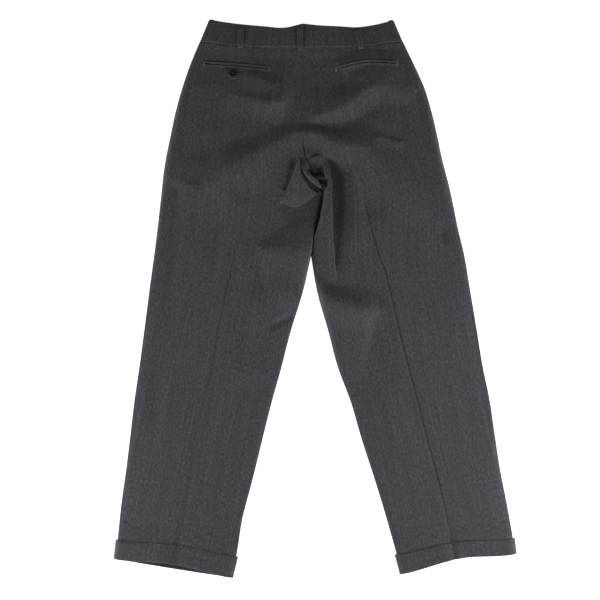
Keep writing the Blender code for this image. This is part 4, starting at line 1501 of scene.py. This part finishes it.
@dataclass
class Cuff:
    """The turn-up of one leg: a back strip that curls over the leg, and a flat strip under it."""

    leg: Leg
    height_levels: float = 0.8
    proud: float = 4.0
    overhang: float = 1.5
    wall: float = 1.4
    front_wall: float = 1.0
    clear: float = 0.5
    tall: float = 36.0
    rim_depth: float = 0.8  # how far a folded edge rounds down
    rim_reach: float = 0.035
    lip: float = 5.5  # how far the front strip curls up to its fold where the hem gapes
    lip_reach: float = 9.0
    rows: tuple[float, ...] = (0, 0.03, 0.08, *np.linspace(0.14, 0.88, 10), 0.94, 0.98, 1)
    edge: tuple[float, ...] = (0, 0.002, 0.005, 0.009, 0.014, 0.02, 0.03, 0.042)
    # Spans of its width and how many points each has: the one at the crease is dense.
    middle: tuple[Triple, ...] = ((0.055, 0.47, 38), (0.475, 0.565, 24), (0.575, 0.945, 34))
    front_steps: int = 40
    grain_shift: Pair = (700.0, 900.0)  # moves the pattern of the back and the front strip from the leg's

    def strip(self, share: np.ndarray, is_front: bool) -> tuple[np.ndarray, np.ndarray, np.ndarray]:
        """Lays out the strip in plan, wider and longer than the leg.

        Args:
            share: where the points of each row lie across it.
            is_front: True for the front strip.

        Returns:
            The level of each row, where its points lie across the strip, and the points.
        """
        rows = np.array(self.rows)
        level = self.leg.hem_level - self.height_levels * rows
        across = np.repeat(share[None], len(level), 0)
        spare = (self.proud / self.leg.width(level))[:, None]
        plan = self.leg.place(level, -spare + across * (1 + 2 * spare), is_front)
        plan[..., 1] -= (self.overhang * (1 - smooth(0, 0.1, rows)))[:, None]
        return level, across, plan

    def rim(self, up: np.ndarray) -> np.ndarray:
        """How far the strip's face rounds down at its folded top and bottom."""
        return self.rim_depth * bell(np.minimum(up, 1 - up), self.rim_reach)[:, None]

    def back(self, cloth: Finish) -> Piece:
        """Builds the strip on the back, which follows the leg's folds.

        Args:
            cloth: its finish.

        Returns:
            The piece.
        """
        leg = self.leg
        middle = [np.linspace(start, end, int(count)) for start, end, count in self.middle]
        edge = np.array(self.edge)
        level, across, plan = self.strip(np.concatenate([edge, *middle, 1 - edge[::-1]]), is_front=False)
        wide = (leg.width(level) + 2 * self.proud)[:, None]
        fall = leg.curl(across * wide) * leg.curl((1 - across) * wide)
        over = leg.lift(level)[:, None] + self.clear + self.wall
        up = (leg.hem_level - level) / self.height_levels
        z = leg.edge_height + (leg.body(level, plan) + over - self.rim(up)) * fall
        grain = np.dstack([(across - 0.5) * wide, plan[..., 1] + self.grain_shift[0]]) * MM
        return leg.piece("cuff_back", "cuff_back", [shell(np.dstack([plan, z]), self.wall, grain)], cloth)

    def front(self, cloth: Finish) -> Piece:
        """Builds the strip on the front, which lies on the floor.

        Args:
            cloth: its finish.

        Returns:
            The piece.
        """
        leg = self.leg
        level, across, plan = self.strip(np.linspace(0, 1, self.front_steps), is_front=True)
        up = (leg.hem_level - level) / self.height_levels
        from_hem = np.clip(1 - up * self.tall / self.lip_reach, 0, 1)[:, None]
        open_hem = np.sin(np.pi * across) ** 0.5 * from_hem**1.3
        z = self.wall - self.rim(up) * 0.5 + self.lip * open_hem
        wide = leg.width(level)[:, None]
        grain = np.dstack([(across - 0.5) * wide, plan[..., 1] + self.grain_shift[1]]) * MM
        strip = shell(np.dstack([plan, z]), self.front_wall, grain)
        return leg.piece("cuff_front", "cuff_front", [strip], cloth)


@dataclass
class Strip:
    """A narrow folded strip of cloth that lies on other pieces: a belt loop or a pocket jet."""

    node: str
    path: tuple[Point, ...]
    width: float
    profile: tuple[Point, ...]  # from its left edge, -1, to its right edge, 1: place and height
    bulge: float = 0.0  # how far it stands off in the middle of its length
    ends: Pair = (0.45, 0.45)  # share of its height that is left at its start and at its end
    end_reach: float = 2.5
    steps: int = 40
    shift: float = 0.0  # sideways, for one of a pair of strips along one line
    on_floor: bool = False
    clear: float = 0.15
    dip: float = 0.6  # how far it follows a ditch under it

    def build(self, cloth: Finish, lie: Lie) -> Piece:
        """Builds the strip on what it lies on.

        Args:
            cloth: its finish.
            lie: the pieces under it.

        Returns:
            The piece.
        """
        line = curve(self.path, self.steps + 1)
        run = np.gradient(line, axis=0)
        run /= np.linalg.norm(run, axis=1, keepdims=True)
        sideways = np.stack([run[:, 1], -run[:, 0]], 1)
        line = line + sideways * self.shift
        travelled = np.concatenate([[0.0], np.cumsum(np.linalg.norm(np.diff(line, axis=0), axis=1))])
        share, heights = np.array(self.profile).T
        half = self.width / 2
        sides = np.concatenate([share, share[::-1]]) * half
        rings, grain = [], []
        for number, (place, way) in enumerate(zip(line, travelled)):
            off = self.bulge * math.sin(math.pi * (number / self.steps)) ** 0.8
            to_ends = (way, travelled[-1] - way)
            end = 1 - max((1 - left) * bell(away, self.end_reach) for left, away in zip(self.ends, to_ends))
            plan = place + sideways[number] * (share * half)[:, None]
            low = np.zeros(len(share))
            if not self.on_floor:
                low = np.array([lie.height(x, y) for x, y in plan]) + self.clear
                low = np.maximum(low, low.mean() - self.dip) + off
            upper = np.column_stack([plan, low + heights * end])
            rings.append(np.vstack([upper, np.column_stack([plan, low])[::-1]]))
            grain.append(np.column_stack([sides, np.full(len(sides), way)]) * MM)
        piece = make_piece(f"cloth_{self.node}", [tube(np.array(rings), np.array(grain))], cloth)
        return dress(piece, "suiting", self.node)


# Section of the button from its middle underneath, round the rim, to the middle of its dished face.
BUTTON_SECTION = (
    (0, 0), (0.55, 0), (0.8, 0.14), (0.96, 0.42), (1, 0.62), (0.985, 0.82), (0.93, 0.95), (0.85, 1),
    (0.76, 0.95), (0.69, 0.8), (0.6, 0.7), (0.35, 0.66), (0, 0.65),
)  # fmt: skip


@dataclass
class Button:
    """A four-hole button with a raised rim, sewn on by crossed threads."""

    centre: Point
    radius: float = 7.5
    height: float = 2.8
    hole: float = 0.85
    hole_apart: float = 2.6
    rest_radius: float = 6.0  # where it rests on the cloth
    clear: float = 0.2
    pip: float = 0.01  # radius that its flat middle is drawn to
    round_steps: int = 64
    drill_steps: int = 20
    drill_length: float = 20.0
    sharp_angle: float = 0.9

    def drill(self) -> Piece:
        """Makes the four round rods that are cut out of the button.

        Returns:
            The rods, as one object.
        """
        work = bmesh.new()
        size = self.hole * MM
        for way_x in (-1, 1):
            for way_y in (-1, 1):
                sizes = {"radius1": size, "radius2": size, "depth": self.drill_length * MM}
                rod = bmesh.ops.create_cone(work, cap_ends=True, segments=self.drill_steps, **sizes)
                move = Vector((way_x, way_y, 0)) * (self.hole_apart / 2 * MM)
                bmesh.ops.translate(work, vec=move, verts=rod["verts"])
        mesh = bpy.data.meshes.new("button_drill")
        work.to_mesh(mesh)
        work.free()
        rods = bpy.data.objects.new("button_drill", mesh)
        bpy.context.scene.collection.objects.link(rods)
        return rods

    def build(self, resin: Finish, lie: Lie) -> tuple[Piece, float]:
        """Turns the button's profile and drills its holes.

        Args:
            resin: its finish.
            lie: what it lies on.

        Returns:
            The button, and the height of its dished face.
        """
        x, y = self.centre
        around = np.linspace(0, 2 * math.pi, 8, endpoint=False)
        rests = [(x + self.rest_radius * math.cos(a), y + self.rest_radius * math.sin(a)) for a in around]
        seat = max(lie.height(*rest) for rest in rests) + self.clear
        turns = np.linspace(0, 2 * math.pi, self.round_steps, endpoint=False)
        rings = []
        for out, up in BUTTON_SECTION:
            radius = max(self.radius * out, self.pip)
            high = np.full(len(turns), self.height * up)
            rings.append(np.column_stack([radius * np.cos(turns), radius * np.sin(turns), high]))
        button = make_piece("button", [tube(np.array(rings))], resin)
        rods = self.drill()
        cut = button.modifiers.new("holes", "BOOLEAN")
        cut.operation, cut.object = "DIFFERENCE", rods
        graph = bpy.context.evaluated_depsgraph_get()
        drilled = bpy.data.meshes.new_from_object(button.evaluated_get(graph))
        button.modifiers.clear()
        button.data = drilled
        bpy.data.objects.remove(rods)
        drilled.set_sharp_from_angle(angle=self.sharp_angle)
        for vertex in drilled.vertices:
            vertex.co += Vector((x, y, seat)) * MM
        return dress(button, "button", "pocket_button"), seat + self.height * BUTTON_SECTION[-1][1]


@dataclass
class Sewing:
    """Stitches laid on the pieces: each is a short, rounded length of thread."""

    lie: Lie
    radius: float = 0.28
    sides: int = 6
    arch: float = 1.2  # how far a stitch rises in its middle, in radii
    sunk: float = 0.4  # how far its ends stand out of the cloth, in radii
    uneven: float = 0.08  # how much the stitches of a bar differ in length
    beat: float = 2.3  # and how soon, in radians from one to the next
    slant: float = 0.1
    girths: tuple[Point, ...] = ((0.0, 0.3), (0.12, 0.85), (0.5, 1.0), (0.88, 0.85), (1.0, 0.3))  # along it

    def stitch(self, start: np.ndarray, end: np.ndarray) -> Solid:
        """One stitch between two points, arched in its middle.

        Args:
            start: where the thread comes up.
            end: where it goes down.

        Returns:
            The stitch.
        """
        axis = end - start
        length = float(np.linalg.norm(axis))
        axis = axis / length
        level = np.cross(axis, [0, 0, 1.0])
        level /= np.linalg.norm(level)
        upward = np.cross(level, axis)
        turns = np.linspace(0, 2 * np.pi, self.sides, endpoint=False)[:, None]
        rings = []
        for share, girth in self.girths:
            rise = self.radius * self.arch * math.sin(math.pi * share)
            middle = start + axis * length * share + upward * rise
            rings.append(middle + (level * np.cos(turns) + upward * np.sin(turns)) * self.radius * girth)
        return tube(np.array(rings))

    def sew(self, name: str, pairs: list[Ends], thread: Finish) -> Piece:
        """Joins stitches into one piece.

        Args:
            name: the piece's name.
            pairs: the two ends of each stitch.
            thread: its finish.

        Returns:
            The piece.
        """
        piece = make_piece(name, [self.stitch(start, end) for start, end in pairs], thread)
        return dress(piece, "thread")

    def on_top(self, x: float, y: float) -> np.ndarray:
        """The point of a stitch on the pieces at a place in plan."""
        return np.array([x, y, self.lie.height(x, y) + self.radius * self.sunk])

    def bar(self, middle: Point, width: float, height: float, gap: float) -> list[Ends]:
        """A bar tack: close, slightly uneven stitches side by side.

        Args:
            middle: its middle, in plan.
            width: its size across the stitches.
            height: the length of a stitch.
            gap: the distance from stitch to stitch.

        Returns:
            The two ends of each stitch.
        """
        pairs = []
        for number, x in enumerate(np.arange(-width / 2, width / 2 + 0.01, gap)):
            long = height / 2 * (1 + self.uneven * math.sin(self.beat * number))
            at = middle[0] + x
            end = self.on_top(at + self.slant, middle[1] + long)
            pairs.append((self.on_top(at, middle[1] - long), end))
        return pairs


# --------------------------------------------------------------------- garment


BAND_TOP = {
    Side.LEFT: (
        (-207, 545, -1), (-170, 539, -2), (-134, 535, -2.5), (-97, 532, -2.5), (-61, 529, -1.5),
        (-24, 537.4, -2),
    ),
    Side.RIGHT: (
        (153, 544, -1), (118, 535, -2), (82, 530, -2), (47, 532, -2.5), (11, 533.4, -1.5), (-24, 537.4, -2),
    ),
}  # fmt: skip
LAP_END = {Side.LEFT: 1.15, Side.RIGHT: 1.02}
BACK_LOOPS = {
    "left": ((-146, 489), (-146, 531)),
    "centre": ((-29, 485), (-29, 532)),
    "right": ((89, 487), (81.5, 526)),
}
POCKETS = {
    Side.LEFT: ((-217, 458), (-154, 454), (-89, 448)),
    Side.RIGHT: ((41, 447), (99, 460), (160, 458)),
}
BUTTON_AT = (-160.0, 440.0)
# Sections of the narrow strips, from edge to edge: place across and height.
LOOP_SECTION = (
    (-1, 0.5), (-0.98, 1.3), (-0.92, 1.6), (-0.6, 1.65), (0, 1.6), (0.6, 1.65), (0.92, 1.6),
    (0.98, 1.3), (1, 0.5),
)  # fmt: skip
LOOP_ENDS = (0.9, 0.15)
FRONT_LOOP_SECTION = (
    (-1, 0.2), (-0.98, 0.7), (-0.88, 0.95), (-0.6, 1.0), (0, 1.0), (0.6, 1.0), (0.88, 0.95),
    (0.98, 0.7), (1, 0.2),
)  # fmt: skip
UPPER_JET_SECTION = (
    (-1, 0.0), (-0.95, 0.5), (-0.85, 0.9), (-0.6, 1.0), (-0.1, 0.72), (0.4, 0.4), (0.85, 0.1), (1, 0.0),
)  # fmt: skip
LOWER_JET_SECTION = (
    (-1, 0.0), (-0.95, 0.5), (-0.85, 0.9), (-0.6, 1.0), (-0.1, 0.7), (0.4, 0.36), (0.85, 0.08), (1, 0.0),
)  # fmt: skip


@dataclass
class Trousers:
    """The whole garment: builds its pieces in order, each on the ones before it."""

    cloth: Finish
    resin: Finish
    thread: Finish
    loop_width: float = 12.0
    loop_bulge: float = 0.8
    front_loops: int = 4
    jet_width: float = 5.5
    # Rows of stitches: width of the row, length of its stitches and distance from stitch to stitch.
    loop_tack: Triple = (9.0, 1.4, 0.7)
    pocket_tack: Triple = (3.2, 10.5, 0.55)
    buttonhole: Triple = (11.0, 1.3, 0.55)
    tack_up: float = 2.2  # from the end of a loop
    hole_from: Pair = (1.0, -10.6)  # from the button
    thread_up: float = 0.1

    def build(self) -> None:
        """Builds every piece and reports it."""
        lie = Lie([])
        panels = {}
        for side, leg in LEGS.items():
            back = BackPanel(leg).build(self.cloth)
            lie.add(back)
            panels[side] = back, FrontPanel(leg).build(self.cloth)
            LOG.info("panels of the %s leg built", side.word)
        for side, leg in LEGS.items():
            band = Waistband(leg, BAND_TOP[side], BAND_TOP[side.other], LAP_END[side]).build(self.cloth)
            lie.add(band)
            cuff = Cuff(leg)
            self.declare(side, *panels[side], band, cuff.back(self.cloth), cuff.front(self.cloth))
            LOG.info("waistband and cuffs of the %s side built", side.word)
        self.belt_loops(lie)
        self.pockets(lie)
        self.button_and_sewing(lie)

    def declare(
        self, side: Side, back: Piece, front: Piece, band: Piece, cuff_back: Piece, cuff_front: Piece
    ) -> None:
        """States the flat cut of the cloth pieces of one side.

        Args:
            side: the side.
            back: its back panel.
            front: its front panel.
            band: its half of the waistband.
            cuff_back: the turn-up of its back.
            cuff_front: the turn-up of its front.
        """
        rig.sheet(back, flat=(0.33, 1.08), held="laid", rests_on=[front.name], area=0.275)
        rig.sheet(front, flat=(0.36, 1.08), held="laid", rests_on=[cuff_front.name], area=0.29)
        long = 0.42 if side is Side.LEFT else 0.37
        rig.sheet(band, flat=(0.044, long), held="folded", rests_on=[front.name])
        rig.sheet(cuff_back, flat=(0.245, 0.041), held="laid", rests_on=[back.name])
        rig.sheet(cuff_front, flat=(0.245, 0.041), held="laid")

    def belt_loops(self, lie: Lie) -> None:
        """Builds the loops of the back and of the front.

        Args:
            lie: the pieces that they lie on, to which the back's loops are added.
        """
        for word, path in BACK_LOOPS.items():
            sizes = (self.loop_width, LOOP_SECTION, self.loop_bulge, LOOP_ENDS)
            strip = Strip(f"belt_loop_back_{word}", path, *sizes)
            lie.add(strip.build(self.cloth, lie))
        for number in range(1, self.front_loops + 1):
            node = f"belt_loop_front_{number}"
            low, high = (Vector(corner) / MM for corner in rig.box(node))
            middle = (low.x + high.x) / 2
            path = ((middle, low.y), (middle, high.y))
            strip = Strip(node, path, self.loop_width, FRONT_LOOP_SECTION, steps=12, on_floor=True)
            strip.build(self.cloth, lie)
        LOG.info("belt loops built")

    def pockets(self, lie: Lie) -> None:
        """Builds the two jets of each back pocket.

        Args:
            lie: the pieces that they lie on, to which they are added.
        """
        for side, path in POCKETS.items():
            made = []
            for word, way, section in (("upper", -1, UPPER_JET_SECTION), ("lower", 1, LOWER_JET_SECTION)):
                shift = way * (self.jet_width + SEAM_GAP) / 2
                node = f"pocket_jet_{word}_{side.word}"
                strip = Strip(node, path, self.jet_width, section, steps=64, shift=shift)
                made.append(strip.build(self.cloth, lie))
            for piece in made:
                lie.add(piece)
        LOG.info("pockets built")

    def button_and_sewing(self, lie: Lie) -> None:
        """Builds the button and every stitch that shows.

        Args:
            lie: the pieces that they lie on.
        """
        button, face = Button(BUTTON_AT).build(self.resin, lie)
        lie.add(button)
        sewing = Sewing(lie)
        pairs = []
        for (x, y), _ in BACK_LOOPS.values():
            pairs += sewing.bar((x, y + self.tack_up), *self.loop_tack)
        for path in POCKETS.values():
            pairs += sewing.bar(path[0], *self.pocket_tack) + sewing.bar(path[-1], *self.pocket_tack)
        x, y = BUTTON_AT
        half = Button.hole_apart / 2
        for way in (1, -1):
            start = np.array([x - half, y - way * half, face + self.thread_up])
            pairs.append((start, np.array([x + half, y + way * half, face + self.thread_up])))
        sewing.sew("thread_bars", pairs, self.thread)
        hole = sewing.bar((x + self.hole_from[0], y + self.hole_from[1]), *self.buttonhole)
        sewing.sew("thread_buttonhole", hole, self.thread)
        LOG.info("button and sewing built")


# ---------------------------------------------------------------------- studio


@dataclass(frozen=True)
class Lamp:
    """A square soft light."""

    name: str
    at: Triple
    aim: Triple
    size: float
    power: float

    def hang(self) -> None:
        """Hangs the light so that it faces its aim."""
        lamp = bpy.data.lights.new(self.name, "AREA")
        lamp.size, lamp.energy = self.size, self.power
        holder = bpy.data.objects.new(self.name, lamp)
        holder.location = self.at
        holder.rotation_euler = (Vector(self.aim) - Vector(self.at)).to_track_quat("-Z", "Y").to_euler()
        bpy.context.scene.collection.objects.link(holder)


@dataclass
class Studio:
    """A pale floor, two keys beyond the hems, two low lamps beside the legs, and the camera straight above.

    The keys face upwards, past the cloth, so that it gets only their soft edge, from low down.
    """

    camera_at: Triple = (-0.0296, -0.0024, 2.933)
    lens: float = 90.0
    lamps: tuple[Lamp, ...] = (
        Lamp("key_left", (-2.1, -2.0, 1.2), (0.0, 0.3, 3.0), 1.0, 46.5),
        Lamp("key_right", (2.0, -1.75, 1.15), (0.0, 0.3, 3.0), 1.0, 45.5),
        Lamp("strip_left", (-1.2, -0.4, 0.28), (0.0, -0.4, 0.0), 0.7, 8.2),
        Lamp("strip_right", (1.15, -0.4, 0.28), (0.0, -0.4, 0.0), 0.7, 10.2),
    )
    air: str = "#fbfcff"
    fill: float = 0.062
    horizon: float = 1.02  # the far, lit edge of the studio
    horizon_top: Pair = (0.17, 0.21)  # how high it reaches, as the sine of the angle up
    floor_half: float = 40.0
    floor_height: float = -0.0002

    def build(self) -> None:
        """Sets up the floor, the lamps, the fill and the camera."""
        half, low = self.floor_half, self.floor_height
        corners = [(-half, -half, low), (half, -half, low), (half, half, low), (-half, half, low)]
        floor_mesh = bpy.data.meshes.new("floor")
        floor_mesh.from_pydata(corners, [], [(0, 1, 2, 3)])
        floor_mesh.materials.append(EmulsionPaint().material())
        floor = bpy.data.objects.new("floor", floor_mesh)
        bpy.context.scene.collection.objects.link(floor)
        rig.stage(floor)
        for lamp in self.lamps:
            lamp.hang()
        bpy.context.scene.world = self.fill_light()
        lens = bpy.data.cameras.new("camera")
        lens.lens = self.lens
        lens.sensor_width = 36.0
        camera = bpy.data.objects.new("camera", lens)
        camera.location = self.camera_at
        bpy.context.scene.collection.objects.link(camera)
        bpy.context.scene.camera = camera
        bpy.context.scene.view_settings.view_transform = "Standard"

    def fill_light(self) -> bpy.types.World:
        """Makes the even fill, which is bright only along the horizon.

        Returns:
            The world that gives it.
        """
        world = bpy.data.worlds.new("studio_fill")
        world.use_nodes = True
        tree = world.node_tree
        way_up = add_node(tree, "ShaderNodeTexCoord", {}).outputs["Generated"]
        height = add_node(tree, "ShaderNodeSeparateXYZ", {"Vector": way_up}).outputs["Z"]
        fade = {"Value": height, "To Min": self.horizon, "To Max": self.fill}
        fade["From Min"], fade["From Max"] = self.horizon_top
        strength = add_node(tree, "ShaderNodeMapRange", fade).outputs["Result"]
        background = tree.nodes["Background"]
        background.inputs["Color"].default_value = linear(self.air)
        tree.links.new(strength, background.inputs["Strength"])
        return world


def main() -> None:
    """Builds the trousers and the studio, and writes the sizes."""
    logging.basicConfig(level=logging.INFO, format="%(name)s: %(message)s")
    Trousers(WorstedFlannel().material(), PolyesterResin().material(), SewingThread().material()).build()
    Studio().build()
    bpy.context.view_layer.update()
    sizes = {"cad": [list(corner) for corner in CAD_BOX], "visual": [list(corner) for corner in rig.bounds()]}
    with open("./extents.json", "w") as file:
        json.dump(sizes, file)
    LOG.info("sizes written")


if __name__ == "__main__":
    main()
